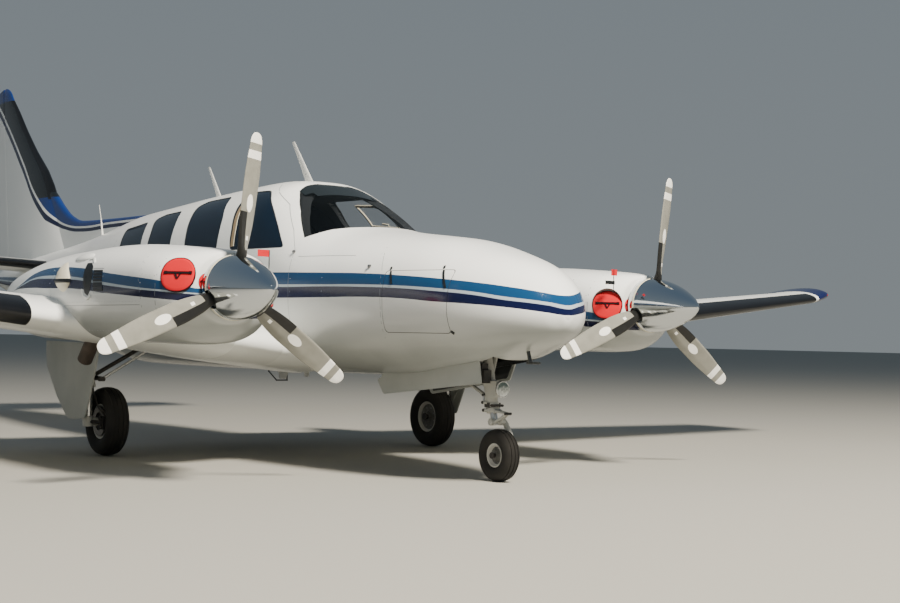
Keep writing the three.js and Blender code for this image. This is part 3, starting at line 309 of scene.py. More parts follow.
def settle(piece, slot, *nodes, body="airframe"):
    """Fixes a finished piece to its body and hides the imported nodes that it stands in for; its slot is
    not used.
    """
    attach(piece, body)
    if nodes:
        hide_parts(*nodes)
    return piece


def column_tangents(places, values):
    """Tangents of a monotone cubic through one column of a table, so that a body has no flat bands."""
    step = np.diff(places)
    slope = np.diff(values) / step
    tangent = np.concatenate((slope[:1], np.zeros(len(slope) - 1), slope[-1:]))
    same = slope[:-1] * slope[1:] > 0
    near, far = 2 * step[1:] + step[:-1], step[1:] + 2 * step[:-1]
    safe = np.where(same, slope[:-1], 1), np.where(same, slope[1:], 1)
    tangent[1:-1] = np.where(same, (near + far) / (near / safe[0] + far / safe[1]), 0)
    return tangent


def smooth_column(places, values, wanted, tangent=None):
    """The value of a column's cubic at the wanted places."""
    step = np.diff(places)
    if tangent is None:
        tangent = column_tangents(places, values)
    k = np.clip(np.searchsorted(places, wanted, side="right") - 1, 0, len(step) - 1)
    t = (wanted - places[k]) / step[k]
    return (
        values[k] * (1 + 2 * t) * (1 - t) ** 2
        + tangent[k] * step[k] * t * (1 - t) ** 2
        + values[k + 1] * t * t * (3 - 2 * t)
        + tangent[k + 1] * step[k] * t * t * (t - 1)
    )


class Body:
    """A long body given by superellipse sections: y, half width, bottom, top, height of the widest
    place, and the power of the upper and lower halves. Sections are eased along the square root of
    the distance from the front, which makes the front round."""

    def __init__(self, rows, centre=0):
        self.rows = np.array(rows, float)
        self.front = self.rows[0, 0]
        self.travel = np.sqrt(self.rows[:, 0] - self.front)
        self.centre = centre
        self.tangents = [column_tangents(self.travel, self.rows[:, c]) for c in range(1, 7)]

    def sections(self, y):
        travel = np.sqrt(np.clip(np.asarray(y, float) - self.front, 0, None))
        return [smooth_column(self.travel, self.rows[:, c + 1], travel, self.tangents[c]) for c in range(6)]

    def ring(self, y, around, inset=0):
        half, bottom, top, wide, upper, lower = (float(v) for v in self.sections(y))
        points = []
        for c, s in circle(around):
            power = 2 / (upper if s > 0 else lower)
            reach = (top - wide if s > 0 else wide - bottom) - inset
            x = (half - inset) * math.copysign(abs(c) ** power, c)
            points.append(at(self.centre + x, y, wide + reach * math.copysign(abs(s) ** power, s)))
        return points

    def length(self, start, end, rows, around, inset=0):
        """A closed solid of the body between two places, as rings eased like its sections."""
        low, high = math.sqrt(start - self.front), math.sqrt(end - self.front)
        places = [self.front + (low + (high - low) * i / rows) ** 2 for i in range(rows + 1)]
        return Shape().rings([self.ring(y, around, inset) for y in places])

    def level(self, points):
        """Below one inside the skin and above one outside, for points in millimetres."""
        half, bottom, top, wide, upper, lower = self.sections(points[:, 1])
        over = points[:, 2] > wide
        power = np.where(over, upper, lower)
        reach = np.where(over, top - wide, wide - bottom)
        across = np.abs(points[:, 0] - self.centre) / half
        height = np.abs(points[:, 2] - wide) / reach
        return across ** power + height ** power

    def normals(self, points):
        """The skin's normals at points in the row frame."""
        local = (points - np.array(at(0, 0, 0))) / MM
        slopes = []
        for axis in range(3):
            step = np.zeros(3)
            step[axis] = 0.5
            slopes.append(self.level(local + step) - self.level(local - step))
        slopes = np.array(slopes).T
        return slopes / np.maximum(np.linalg.norm(slopes, axis=1, keepdims=True), 1e-9)

    def skin(self, y, z, side, proud=0.0):
        """The point of the skin at a place seen from one side, and the skin's normal there."""
        half, bottom, top, wide, upper, lower = (float(v) for v in self.sections(y))
        power = upper if z > wide else lower
        reach = top - wide if z > wide else wide - bottom
        part = min(1.0, abs(z - wide) / reach)
        x = half * (1 - part ** power) ** (1 / power)
        point = at(self.centre + side * x, y, z)
        normal = Vector(self.normals(np.array([point]))[0])
        return point + normal * proud * MM, normal


def follow_curve(piece, normals_at, least=0.6):
    """Gives a cut piece the normals of the curve that it was cut from, but not its cut edges."""
    mesh = piece.data
    points = np.array([v.co for v in mesh.vertices])
    curved = normals_at(points)
    corners = []
    for face in mesh.polygons:
        flat = np.array(face.normal)
        for vertex in face.vertices:
            match = float(curved[vertex] @ flat)
            corners.append(curved[vertex] * math.copysign(1, match) if abs(match) > least else flat)
    mesh.polygons.foreach_set("use_smooth", [True] * len(mesh.polygons))
    mesh.normals_split_custom_set(corners)
    return piece


def carve(piece, *cutters, keep=None, join=None):
    """Keeps what lies inside one shape, or joins another, and then cuts the rest away in turn."""
    steps = [("INTERSECT", keep), ("UNION", join)] + [("DIFFERENCE", shape) for shape in cutters]
    for operation, shape in steps:
        if shape is None:
            continue
        other = shape.object("cutter", ())
        cut = piece.modifiers.new("cut", "BOOLEAN")
        cut.operation = operation
        cut.object = other
        cut.solver = "EXACT"
        cut.material_mode = "INDEX"
        bpy.context.view_layer.update()
        made = bpy.data.meshes.new_from_object(piece.evaluated_get(bpy.context.evaluated_depsgraph_get()))
        piece.modifiers.remove(cut)
        made.name = piece.data.name
        piece.data = made
        bpy.data.objects.remove(other)
    return piece


def rounded(outline, radius, steps=6):
    """An outline in y and z with round corners."""
    points = []
    count = len(outline)
    for i, corner in enumerate(outline):
        corner = Vector(corner)
        before = Vector(outline[i - 1])
        after = Vector(outline[(i + 1) % count])
        start = corner + (before - corner).normalized() * min(radius, (before - corner).length * 0.45)
        end = corner + (after - corner).normalized() * min(radius, (after - corner).length * 0.45)
        for k in range(steps + 1):
            t = k / steps
            points.append(start * (1 - t) ** 2 + corner * 2 * t * (1 - t) + end * t * t)
    return points


def prism(outline, start, end):
    """A cutter: an outline in y and z pushed through from one x to another."""
    return Shape().rings([[at(x, y, z) for y, z in outline] for x in (start, end)])


FUSELAGE = Body((
    (-3450, 18, 1040, 1076, 1058, 2.0, 2.0),
    (-3435, 75, 985, 1135, 1060, 2.0, 2.0),
    (-3400, 150, 945, 1200, 1062, 2.0, 2.0),
    (-3300, 270, 889, 1305, 1070, 2.1, 2.1),
    (-3150, 375, 839, 1385, 1085, 2.2, 2.2),
    (-2850, 490, 753, 1478, 1120, 2.3, 2.3),
    (-2450, 565, 703, 1570, 1150, 2.4, 2.4),
    (-2150, 605, 664, 1604, 1170, 2.4, 2.5),
    (-1850, 637, 651, 1635, 1190, 2.4, 2.5),
    (-1675, 650, 648, 1657, 1200, 2.35, 2.55),
    (-1500, 662, 646, 1688, 1210, 2.3, 2.6),
    (-1350, 672, 644, 1727, 1220, 2.34, 2.6),
    (-1200, 680, 643, 1784, 1230, 2.4, 2.6),
    (-1025, 686, 642, 1887, 1243, 2.45, 2.6),
    (-850, 690, 641, 1976, 1250, 2.5, 2.6),
    (-600, 691, 640.5, 2076, 1250, 2.57, 2.6),
    (-350, 692, 640, 2092, 1250, 2.6, 2.6),
    (100, 691, 636, 2080, 1250, 2.6, 2.6),
    (600, 690, 632, 2058, 1250, 2.6, 2.6),
    (1500, 655, 632, 2013, 1245, 2.5, 2.6),
    (2100, 610, 636, 1984, 1240, 2.4, 2.5),
    (2700, 545, 690, 1915, 1250, 2.3, 2.4),
    (3500, 430, 830, 1825, 1290, 2.2, 2.3),
    (4300, 330, 975, 1755, 1340, 2.2, 2.2),
    (5100, 235, 1125, 1698, 1390, 2.1, 2.1),
    (5900, 145, 1290, 1640, 1430, 2.0, 2.0),
    (6420, 70, 1400, 1560, 1470, 2.0, 2.0),
))
NOSE_TIP, NOSE_END, CABIN_END, TAIL_END = -3450, -2100, 2500, 6420
WALL, PAST_SKIN = 40, 900
SEAM, BAGGAGE_GAP = 5, 3
AROUND = 112

# Side stripes: place along the body, then the blue's top and bottom and the navy's top and bottom
STRIPES = (
    (-3450, 1155, 1118, 1098, 1062),
    (-3380, 1194, 1145, 1126, 1082),
    (-3225, 1229, 1168, 1148, 1105),
    (-2990, 1260, 1202, 1183, 1124),
    (-2765, 1281, 1220, 1201, 1135),
    (-2440, 1305, 1239, 1222, 1158),
    (-2065, 1325, 1251, 1235, 1169),
    (-1650, 1337, 1256, 1243, 1169),
    (-1182, 1348, 1263, 1245, 1169),
    (0, 1370, 1285, 1265, 1180),
    (2500, 1392, 1308, 1288, 1200),
    (4300, 1440, 1378, 1360, 1292),
    (6420, 1500, 1478, 1470, 1440),
)
WHITE, BLUE, NAVY, PINLINE = "eceeea", "163f65", "0a1136", "aab6bd"


def stripe_edges(look, rows, y, low, high):
    """Curves over the length for each stripe edge, as heights in metres."""
    start, end = rows[0][0], rows[-1][0]
    along = look.math("SUBTRACT", y, AXLE_Y + start * MM)
    along = look.math("DIVIDE", along, (end - start) * MM)
    edges = []
    for column in range(1, len(rows[0])):
        curve = look.node("ShaderNodeFloatCurve")
        points = curve.mapping.curves[0].points
        while len(points) < len(rows):
            points.new(0.5, 0.5)
        for point, row in zip(points, rows):
            point.location = ((row[0] - start) / (end - start), (row[column] - low) / (high - low))
        curve.mapping.update()
        look.put(along, curve.inputs["Value"])
        height = look.math("MULTIPLY", curve.outputs[0], (high - low) * MM)
        edges.append(look.math("ADD", height, low * MM))
    return edges


def painted(name, gloss=0.24):
    """Aircraft enamel: a clear coat over white, with a faint drift of tone and painted shade that greys the
    faces looking down.
    """
    look = Look(name, WHITE, gloss, Coat_Weight=0.15, Coat_Roughness=0.06)
    drift = look.noise(1.3, 4)
    unshaded_white = look.mix(drift, colour("e9ebe8"), colour("f4f5f2"))
    facing = look.node("ShaderNodeSeparateXYZ")
    look.tree.links.new(look.node("ShaderNodeNewGeometry").outputs["Normal"], facing.inputs[0])
    # Painted shade: faces that look down are greyed towards 858a87, unevenly with the drift of tone.
    under = look.math("MULTIPLY", look.math("SUBTRACT", 0.25, facing.outputs[2]), 1.1)
    underside_shade = look.math("MINIMUM", look.math("MAXIMUM", under, 0.0), 1.0)
    underside_shade = look.math("MULTIPLY", underside_shade, look.math("ADD", look.math("MULTIPLY", drift, 0.4), 0.6))
    look.base = look.mix(underside_shade, unshaded_white, colour("858a87"))
    return look


def striped(name, rows, low, high, inner_drop=0.0):
    """White enamel with a blue and a navy stripe whose edges follow the table's rows. On a nacelle
    they run lower on the side that faces the cabin."""
    look = painted(name)
    x, y, z = look.place()
    if inner_drop:
        inner = look.math("LESS_THAN", look.math("ABSOLUTE", x), 1.706)
        z = look.math("ADD", z, look.math("MULTIPLY", inner, inner_drop))
    blue_top, blue_low, navy_top, navy_low = stripe_edges(look, rows, y, low, high)
    bands = (
        (blue_top, navy_low, colour(PINLINE)),
        (blue_top, blue_low, colour(BLUE)),
        (navy_top, navy_low, colour(NAVY)),
    )
    shown = look.base
    for top, bottom, tint in bands:
        inside = look.math(
            "MULTIPLY",
            look.math("LESS_THAN", z, top),
            look.math("GREATER_THAN", z, bottom),
        )
        shown = look.mix(inside, shown, tint)
    look.drive("Base Color", shown)
    return look


body_paint = striped("body paint", STRIPES, 1000, 1600)
lining = mottled("cabin lining", "1d1f21", "323537", 0.85, 60, 3)
# A near-black standing in for the shade inside gaps, the nacelle's second material: painted shade.
gap_shade = mottled("gap shade", "141617", "232628", 0.7, 30, 3)
SKIN_LOOKS = (body_paint, lining)

DOOR = {"front": 1240, "back": 1900, "low": 800, "top": 1930, "corner": 60}
BAGGAGE = {"front": -2860, "back": -2290, "low": 940, "top": 1335, "corner": 30}
WELL = {"half": 188, "front": -2960, "back": -2140, "roof": 1010}


def panel_outline(panel, spread=0):
    corners = (
        (panel["front"] - spread, panel["low"] - spread),
        (panel["back"] + spread, panel["low"] - spread),
        (panel["back"] + spread, panel["top"] + spread),
        (panel["front"] - spread, panel["top"] + spread),
    )
    return rounded(corners, panel["corner"])


def line_inside(piece):
    """Gives the faces that look into the room the second material."""
    mesh = piece.data
    centres = np.array([f.center for f in mesh.polygons])
    local = (centres - np.array(at(0, 0, 0))) / MM
    for face, centre, level in zip(mesh.polygons, local, FUSELAGE.level(local)):
        if level < 0.985 and centre[1] > NOSE_TIP + 30:
            face.material_index = 1
    return piece


def skin_piece(name, node, solid, *cutters, keep=None, body="airframe"):
    """A cut length of the skin with its curve's normals, lined where it looks into the room."""
    piece = carve(solid.object(name, SKIN_LOOKS), *cutters, keep=keep)
    line_inside(follow_curve(piece, FUSELAGE.normals))
    settle(piece, "paint", node, body=body)


def box(low, high, paint=0):
    """A box between two corners in millimetres."""
    return Shape().rings([
        [at(low[0], y, low[2]), at(high[0], y, low[2]), at(high[0], y, high[2]), at(low[0], y, high[2])]
        for y in (low[1], high[1])
    ], paint)


BAGGAGE_SKIN = 8
skin_piece(
    "nose_skin",
    "nose_shell",
    FUSELAGE.length(NOSE_TIP, NOSE_END, 46, AROUND),
    FUSELAGE.length(-3300, NOSE_END - 25, 30, AROUND, 32),
    box((-WELL["half"], WELL["front"], 500), (WELL["half"], WELL["back"], WELL["roof"])),
    prism(panel_outline(BAGGAGE, BAGGAGE_GAP), -PAST_SKIN, 0),
)
skin_piece(
    "baggage_door_skin",
    "baggage_door",
    FUSELAGE.length(-3300, NOSE_END - 25, 40, AROUND),
    FUSELAGE.length(-3300, NOSE_END - 25, 30, AROUND, BAGGAGE_SKIN),
    keep=prism(panel_outline(BAGGAGE), -PAST_SKIN, 0),
    body="baggage_door",
)

# Outlines of the windows in y and z as seen from the side
FIRST_WINDOW = ((-1090, 1527), (-918, 1691), (-757, 1823), (-590, 1945), (-505, 1990), (-205, 1996),
                (-215, 1863), (-252, 1780), (-298, 1689), (-318, 1601), (-350, 1532))
SECOND_WINDOW = ((-128, 1533), (-108, 1678), (-74, 1790), (94, 1980), (193, 1979), (510, 1971), (606, 1930),
                 (542, 1824), (473, 1674), (430, 1540))
FIRST_LEFT = FIRST_WINDOW[:5] + ((-30, 1996), (15, 1850), (-60, 1690), (-110, 1532))
SECOND_LEFT = ((-20, 1533), (60, 1700), (120, 1850), (190, 1979)) + SECOND_WINDOW[5:]
THIRD_RIGHT = (
    (700, 1545), (752, 1719), (787, 1806), (877, 1911), (1240, 1901), (1374, 1863), (1254, 1744),
    (1185, 1545)
)
THIRD_LEFT = (
    (705, 1545), (752, 1719), (787, 1806), (877, 1905), (1120, 1895), (1195, 1850), (1190, 1744),
    (1170, 1545)
)
FOURTH_WINDOW = (
    (1320, 1550), (1433, 1753), (1516, 1852), (1736, 1832), (2000, 1812), (1955, 1734), (1850, 1550)
)
WINDOWS = {
    "left": (FIRST_LEFT, SECOND_LEFT, THIRD_LEFT),
    "right": (FIRST_WINDOW, SECOND_WINDOW, THIRD_RIGHT, FOURTH_WINDOW),
}
DOOR_WINDOW = ((1390, 1500), (1400, 1700), (1430, 1800), (1700, 1795), (1725, 1700), (1745, 1500))
WINDOW_CORNER = 45
WINDSHIELD = ((-1750, 1692), (-1512, 1685), (-1410, 1671), (-1348, 1657), (-1285, 1624), (-1224, 1596),
              (-1138, 1667), (-984, 1804), (-842, 1912), (-754, 1976), (-705, 2024), (-692, 2046),
              (-680, 2250), (-1750, 2250))


def spread_outline(outline, spread):
    middle = sum((Vector(p) for p in outline), Vector((0, 0))) / len(outline)
    return [Vector(p) + (Vector(p) - middle).normalized() * spread for p in outline]


def window_outline(outline, spread=0):
    return rounded(spread_outline(outline, spread), WINDOW_CORNER)


def through_side(outline, side):
    """A cutter through one side of the cabin."""
    return prism(outline, min(0, side * PAST_SKIN), max(0, side * PAST_SKIN))


def cabin_length(inset=0, rows=64):
    """The cabin's part of the body, or the room in it, which is shorter by a wall at both ends."""
    ends = WALL if inset >= WALL else 0
    return FUSELAGE.length(NOSE_END + ends, CABIN_END - ends, rows, AROUND, inset)


SIDES = (("left", 1), ("right", -1))
openings = Shape()
for side_name, side in SIDES:
    for outline in WINDOWS[side_name]:
        openings.join(through_side(window_outline(outline), side))
skin_piece(
    "cabin_skin",
    "cabin_shell",
    cabin_length(),
    cabin_length(WALL, 50),
    openings,
    prism(WINDSHIELD, -PAST_SKIN, PAST_SKIN),
    prism(panel_outline(DOOR, SEAM), 0, PAST_SKIN),
    box((-WELL["half"], NOSE_END - 1, 500), (WELL["half"], -1700, 676)),
)
skin_piece(
    "cabin_door_skin",
    "cabin_door",
    cabin_length(),
    cabin_length(WALL, 50),
    prism(window_outline(DOOR_WINDOW), 0, PAST_SKIN),
    keep=prism(panel_outline(DOOR), 0, PAST_SKIN),
    body="cabin_door",
)

tail = FUSELAGE.length(CABIN_END, TAIL_END, 60, AROUND).object("tail_skin", SKIN_LOOKS)
follow_curve(tail, FUSELAGE.normals)
settle(tail, "paint", "tail_cone")


# Windshield and windows
# Moulded acrylic panes just under the skin's line, tinted in the cabin and clear ahead with a
# darker top, each behind its own opening.
def glass(name, base, alpha, gloss=0.5):
    """Tinted acrylic with a faint haze, darker for a higher alpha."""
    look = Look(name, base, 0.04, Alpha=alpha)
    look.shader.inputs["Specular IOR Level"].default_value = gloss
    look.uneven(look.noise(3, 2), 0.05, 0.02)
    look.material.surface_render_method = "BLENDED"
    return look


cabin_glass = glass("cabin glass", "0d1a28", 0.95, 0.35)
clear_glass = glass("clear glass", "181d20", 0.12)
tint_band = glass("tint band", "1b2022", 0.93, 0.35)
PANE_SUNK, PANE_THICK = 3, 7
TINT_FROM = 1.95


def pane(name, openings, looks, body, node, chooser=None):
    made = cabin_length(PANE_SUNK, 64).object(name, looks)
    carve(made, cabin_length(PANE_SUNK + PANE_THICK, 64), keep=openings)
    for face in made.data.polygons:
        face.material_index = chooser(face.center) if chooser else 0
    follow_curve(made, FUSELAGE.normals)
    return settle(made, "glass", node, body=body)


def side_glass(middle):
    """The pilot's side window is clear and all the others are dark."""
    return 1 if middle.x > 0 and middle.y < AXLE_Y + 16 * MM else 0


for side_name, side in SIDES:
    holes = Shape()
    for outline in WINDOWS[side_name]:
        holes.join(through_side(window_outline(outline, 3), side))
    pane(
        f"cabin_panes_{side_name}", holes, (cabin_glass, clear_glass), "airframe", f"glazing_{side_name}",
        side_glass
    )
pane(
    "windshield_pane", prism(WINDSHIELD, -PAST_SKIN, PAST_SKIN), (clear_glass, tint_band), "airframe",
    "windshield", lambda middle: int(middle.z > TINT_FROM),
)
pane(
    "door_pane", prism(window_outline(DOOR_WINDOW, 2), 0, PAST_SKIN), (cabin_glass,), "cabin_door",
    "door_window"
)


# Wings
# Low cantilever wings of riveted aluminium with black rubber de-icing boots on the outer leading
# edges and navy tips. Flaps and ailerons are skins of their own, riding on their hinges.
ENGINE_X = 1706
WING = np.array((
    (0, -1190, 1230, 0, 0.155, 0.018),
    (640, -1260, 1150, 0, 0.155, 0.018),
    (1100, -1500, 1080, -10, 0.142, 0.016),
    (1330, -1560, 1040, -10, 0.138, 0.016),
    (1950, -1120, 930, 0, 0.145, 0.018),
    (2090, -862, 910, 0, 0.15, 0.018),
    (2350, -830, 870, 0, 0.15, 0.018),
    (5700, -525, 485, 0, 0.118, 0.018),
    (5800, -505, 475, 8, 0.135, 0.015),
    (5900, -480, 460, 26, 0.14, 0.012),
    (5985, -330, 440, 44, 0.07, 0),
))
WING_ROOT_HEIGHT, DIHEDRAL = 750, 0.11
HINGE_PART = 0.76
NOSE_PARTS = (
    0, 0.0015, 0.006, 0.0135, 0.024, 0.042, 0.066, 0.1, 0.14, 0.19, 0.25, 0.32, 0.4, 0.5, 0.6, 0.68
)
AFT_PARTS = (0.2, 0.4, 0.6, 0.8, 1.0)
BOOT_PART = 0.066
END_GAP = 8


def half_thickness(part, thickness):
    """Half the thickness of a four-digit section at a part of its chord."""
    shape = 0.2969 * math.sqrt(part) - 0.126 * part - 0.3516 * part ** 2
    return 5 * thickness * (shape + 0.2843 * part ** 3 - 0.1015 * part ** 4)


def foil(chord, thickness, camber, part):
    """Heights of the upper and lower surface over the chord line."""
    line = camber * 4 * part * (1 - part) * chord
    half = half_thickness(part, thickness) * chord
    return line + half, line - half


def foil_ring(place, chord, thickness, camber, cut=1.0, skew=0.0):
    """Points round a section. place(along, out, aft) turns them into row-frame points. A section
    cut short ends in a face at that part of the chord, and a skewed end leans aft of the cut."""
    limit = cut if cut < 1 else HINGE_PART
    parts = [p * limit / 0.74 for p in NOSE_PARTS] + [limit]
    sides = []
    for side in (0, 1):
        points = [(part * chord, foil(chord, thickness, camber, part)[side], 0) for part in parts]
        edge = points[-1][1]
        middle = camber * 4 * limit * (1 - limit) * chord
        for aft in AFT_PARTS:
            if cut < 1:
                points.append((limit * chord, edge + (middle - edge) * aft * 0.98, 0))
            else:
                part = limit + (1 - limit) * aft
                beyond = (part - limit) * chord
                points.append((part * chord, foil(chord, thickness, camber, part)[side], beyond * skew))
        sides.append(points)
    upper, lower = sides
    return [place(*p) for p in upper[::-1] + lower[1:]]


def row_at(table, place):
    """A table's values at a place, between its rows."""
    return [float(np.interp(place, table[:, 0], column)) for column in table[:, 1:].T]


def wing_row(x):
    lead, trail, rise, thickness, camber = row_at(WING, x)
    beyond = max(0.0, (x - 5900) / 86)
    if beyond > 0:
        round_off = math.sqrt(max(0.0, 1 - beyond ** 2))
        lead, trail = -480 + 290 * (1 - round_off), 460 - 90 * (1 - round_off)
        thickness, rise, camber = 0.14 * round_off + 0.002, 26 + 14 * (1 - round_off), 0
    return lead, trail, rise, thickness, camber


def wing_hinge(x):
    """The hinge's place, the surface's nose radius there, and its trailing edge."""
    lead, trail, rise, thickness, camber = wing_row(x)
    chord = trail - lead
    height = WING_ROOT_HEIGHT + DIHEDRAL * x + rise
    line = camber * 4 * HINGE_PART * (1 - HINGE_PART) * chord
    radius = half_thickness(HINGE_PART, thickness) * chord - 3
    return Vector((x, lead + HINGE_PART * chord, height + line)), radius, Vector((x, trail, height))


def control_surface(stations, mirror=1):
    """A movable surface between two hinge stations: a round nose, sides that swell a little and a
    thin edge, with its end faces square to the hinge line."""
    (near, near_radius, near_end), (far, far_radius, far_end) = stations
    line = (far - near).normalized()
    edge = far_end - near_end
    rings = []
    for step in range(9):
        t = step / 8
        place = near.lerp(far, t)
        radius = near_radius + (far_radius - near_radius) * t
        end = near_end + edge * ((place - near_end).dot(line) / edge.dot(line))
        along = end - place
        length = along.length
        along.normalize()
        up = line.cross(along)
        outline = [(radius * math.cos(math.radians(a)), radius * math.sin(math.radians(a)))
                   for a in range(90, 271, 15)]
        for u in (0.15, 0.35, 0.55, 0.75, 0.9, 1.0):
            outline.append((u * length, -radius * (1 - u) * (1 + 0.22 * u) - 2.5 * u))
        for u in (1.0, 0.9, 0.75, 0.55, 0.35, 0.15):
            outline.append((u * length, radius * (1 - u) * (1 + 0.22 * u) + 2.5 * u))
        ring = []
        for a, h in outline:
            p = place + along * a + up * h
            ring.append(at(mirror * p.x, p.y, p.z))
        rings.append(ring)
    return Shape().rings(rings)


wing_paint = painted("wing paint")
boot_rubber = mottled("boot rubber", "0a0b0d", "16171a", 0.32, 4, 5)
boot_rubber.uneven(boot_rubber.tone, 0.3, 0.18)
boot_rubber.bump(boot_rubber.noise(70, 3), 0.15, 0.001)
navy_paint = mottled("navy paint", NAVY, "111a49", 0.22, 2, 4, Coat_Weight=0.4, Coat_Roughness=0.05)
WING_LOOKS = (wing_paint, boot_rubber, navy_paint)
BOOT_FROM, BOOT_TO, TIP_FROM = 2360, 5660, 5735
SURFACES = (
    ("flap_inner", "inner_flap", 760, 1230),
    ("flap_outer", "outer_flap", 2180, 3700),
    ("aileron", "aileron", 3740, 5680),
)


def wing_rings(mirror):
    """Rings from the root to the tip, cut short where a flap or aileron hangs."""
    stations = [(300, False, 0), (520, False, 0)]
    for name, body, inner, outer in SURFACES:
        start, end = wing_hinge(inner)[0], wing_hinge(outer)[0]
        skew = (start.y - end.y) / (end.x - start.x)
        low, high = inner - END_GAP, outer + END_GAP
        stations += [(low, False, skew), (low, True, 0)]
        stations += [(low + (high - low) * k / 8, True, 0) for k in range(1, 8)]
        stations += [(high, True, 0), (high, False, skew)]
    stations += [(x, False, 0) for x in (5735, 5800, 5860, 5900)]
    stations += [(5900 + 86 * math.sin(math.radians(a)), False, 0) for a in (15, 30, 45, 58, 70, 80, 90)]
    rings = []
    for x, short, skew in stations:
        lead, trail, rise, thickness, camber = wing_row(x)
        chord = trail - lead
        cut = HINGE_PART - (wing_hinge(x)[1] + SEAM) / chord if short else 1.0
        height = WING_ROOT_HEIGHT + DIHEDRAL * x + rise

        def place(along, up, aside, x=x, lead=lead, height=height):
            return at(mirror * (x + aside), lead + along, height + up)

        rings.append(foil_ring(place, chord, thickness, camber, cut, skew))
    return rings


def wing_paint_at(middle):
    x = abs(middle.x) / MM
    y = (middle.y - AXLE_Y) / MM
    lead, trail = wing_row(x)[:2]
    if x > TIP_FROM:
        return 2
    over = middle.z / MM > WING_ROOT_HEIGHT + DIHEDRAL * x + wing_row(x)[2]
    reach = BOOT_PART * (1.9 if over else 1)
    return int(BOOT_FROM < x < BOOT_TO and (y - lead) / (trail - lead) < reach)


for side_name, mirror in SIDES:
    wing = Shape().rings(wing_rings(mirror), wing_paint_at)
    wing.piece(f"wing_skin_{side_name}", WING_LOOKS, "paint", f"wing_{side_name}")
    for name, body, inner, outer in SURFACES:
        surface = control_surface((wing_hinge(inner), wing_hinge(outer)), mirror)
        surface.piece(
            f"{name}_skin_{side_name}", (wing_paint,), "paint", f"{name}_{side_name}",
            body=f"{side_name}_{body}", crease=50
        )


# Engine nacelles
# A round-shouldered cowl on each wing with striped sides, a lower cowl that closes on the wing and
# a turned-down exhaust. Four air inlets face forward, all closed by red foam plugs.
NACELLE_ROWS = (
    (-2320, 212, 968, 1392, 1180, 2.0, 2.0),
    (-2300, 262, 940, 1404, 1180, 2.1, 2.1),
    (-2220, 350, 884, 1418, 1175, 2.3, 2.3),
    (-2080, 405, 842, 1432, 1168, 2.5, 2.5),
    (-1850, 428, 834, 1450, 1160, 2.6, 2.5),
    (-1200, 435, 838, 1480, 1150, 2.6, 2.4),
    (-500, 425, 840, 1462, 1150, 2.5, 2.4),
    (0, 390, 838, 1432, 1150, 2.4, 2.4),
    (500, 315, 850, 1375, 1150, 2.3, 2.3),
    (900, 215, 950, 1310, 1150, 2.2, 2.2),
    (1220, 60, 1120, 1225, 1175, 2.0, 2.0),
)
COWL_FRONT, NACELLE_END = -2320, 1220
NACELLE_STRIPES = (
    (-2320, 1171, 1143, 1135, 1091),
    (-2167, 1212, 1160, 1149, 1105),
    (-2018, 1229, 1170, 1158, 1115),
    (-1775, 1249, 1188, 1174, 1130),
    (-1450, 1276, 1216, 1198, 1148),
    (-1000, 1318, 1256, 1238, 1180),
    (-450, 1334, 1279, 1258, 1192),
    (-130, 1312, 1270, 1258, 1200),
    (160, 1242, 1230, 1222, 1200),
    (420, 1191, 1191, 1190, 1190),
)
INLET = {"x": 295, "y": -2230, "outer": 1249, "inner": 1176, "radius": 110, "turn": 0.83, "rise": 0.33}
FRONT_INLET = {"x": 152, "outer": 1208, "inner": 1176, "radius": 54}
EXHAUST = {"x": 95, "from": (-580, 912), "to": (-372, 702), "radius": 52}
INNER_DROP = 0.092
nacelle_paint = striped("nacelle paint", NACELLE_STRIPES, 1000, 1500, INNER_DROP)
plug_red = mottled("red foam cover", "b80f1b", "d0202a", 0.7, 5, 4, grit=(90, 3, 0.25, 0.002))
plug_edge = mottled("plug edge", "22090c", "36131a", 0.85, 40, 3, grit=(200, 2, 0.3, 0.001))
sooty_steel = mottled("sooty steel", "2b2725", "6a5f57", 0.6, 12, 5, Metallic=0.5)


def tube(start, end, radius, end_radius=None, around=32, paint=0, bevel=0.0):
    """A round bar between two points in millimetres, with a small bevel at both ends."""
    start, end = Vector(start), Vector(end)
    end_radius = radius if end_radius is None else end_radius
    along = (end - start).normalized()
    turn = along.to_track_quat("Z", "Y")
    stations = [(0.0, radius - bevel), (bevel, radius), (-bevel, end_radius), (0.0, end_radius - bevel)]
    if not bevel:
        stations = [(0.0, radius), (0.0, end_radius)]
    rings = []
    for i, (inset, r) in enumerate(stations):
        base = start if i < len(stations) / 2 else end
        middle = base + along * inset
        rings.append([at(*(middle + turn @ Vector((r * c, r * s, 0)))) for c, s in circle(around)])
    return Shape().rings(rings, paint)


def inlet_axis(cheek):
    level = math.cos(INLET["rise"])
    return Vector((
        cheek * math.sin(INLET["turn"]) * level,
        -math.cos(INLET["turn"]) * level,
        math.sin(INLET["rise"]),
    ))


SQUARENESS = 2.25


def plug(middle, axis, radius, thick):
    """A foam plug: a red face that swells a little, with a dark edge and a strap across it."""
    axis = axis.normalized()
    turn = axis.to_track_quat("Z", "Y")
    profile = (
        (-thick, 0.97), (-2, 1.0), (6, 1.0), (9, 0.975), (8, 0.945), (10, 0.925), (13, 0.8), (15, 0.4),
        (15.5, 0.05)
    )
    rings = []
    for height, part in profile:
        ring = []
        for c, s in circle(64):
            square = (abs(c) ** SQUARENESS + abs(s) ** SQUARENESS) ** (-1 / SQUARENESS)
            spread = Vector((c, s, 0)) * radius * part * square
            ring.append(at(*(middle + axis * height + turn @ spread)))
        rings.append(ring)

    def face_paint(centre):
        local = (centre - at(*middle)) / MM
        height = local.dot(axis)
        return 0 if height > 8.9 and (local - axis * height).length < radius * 0.97 else 1

    return Shape().rings(rings, face_paint)


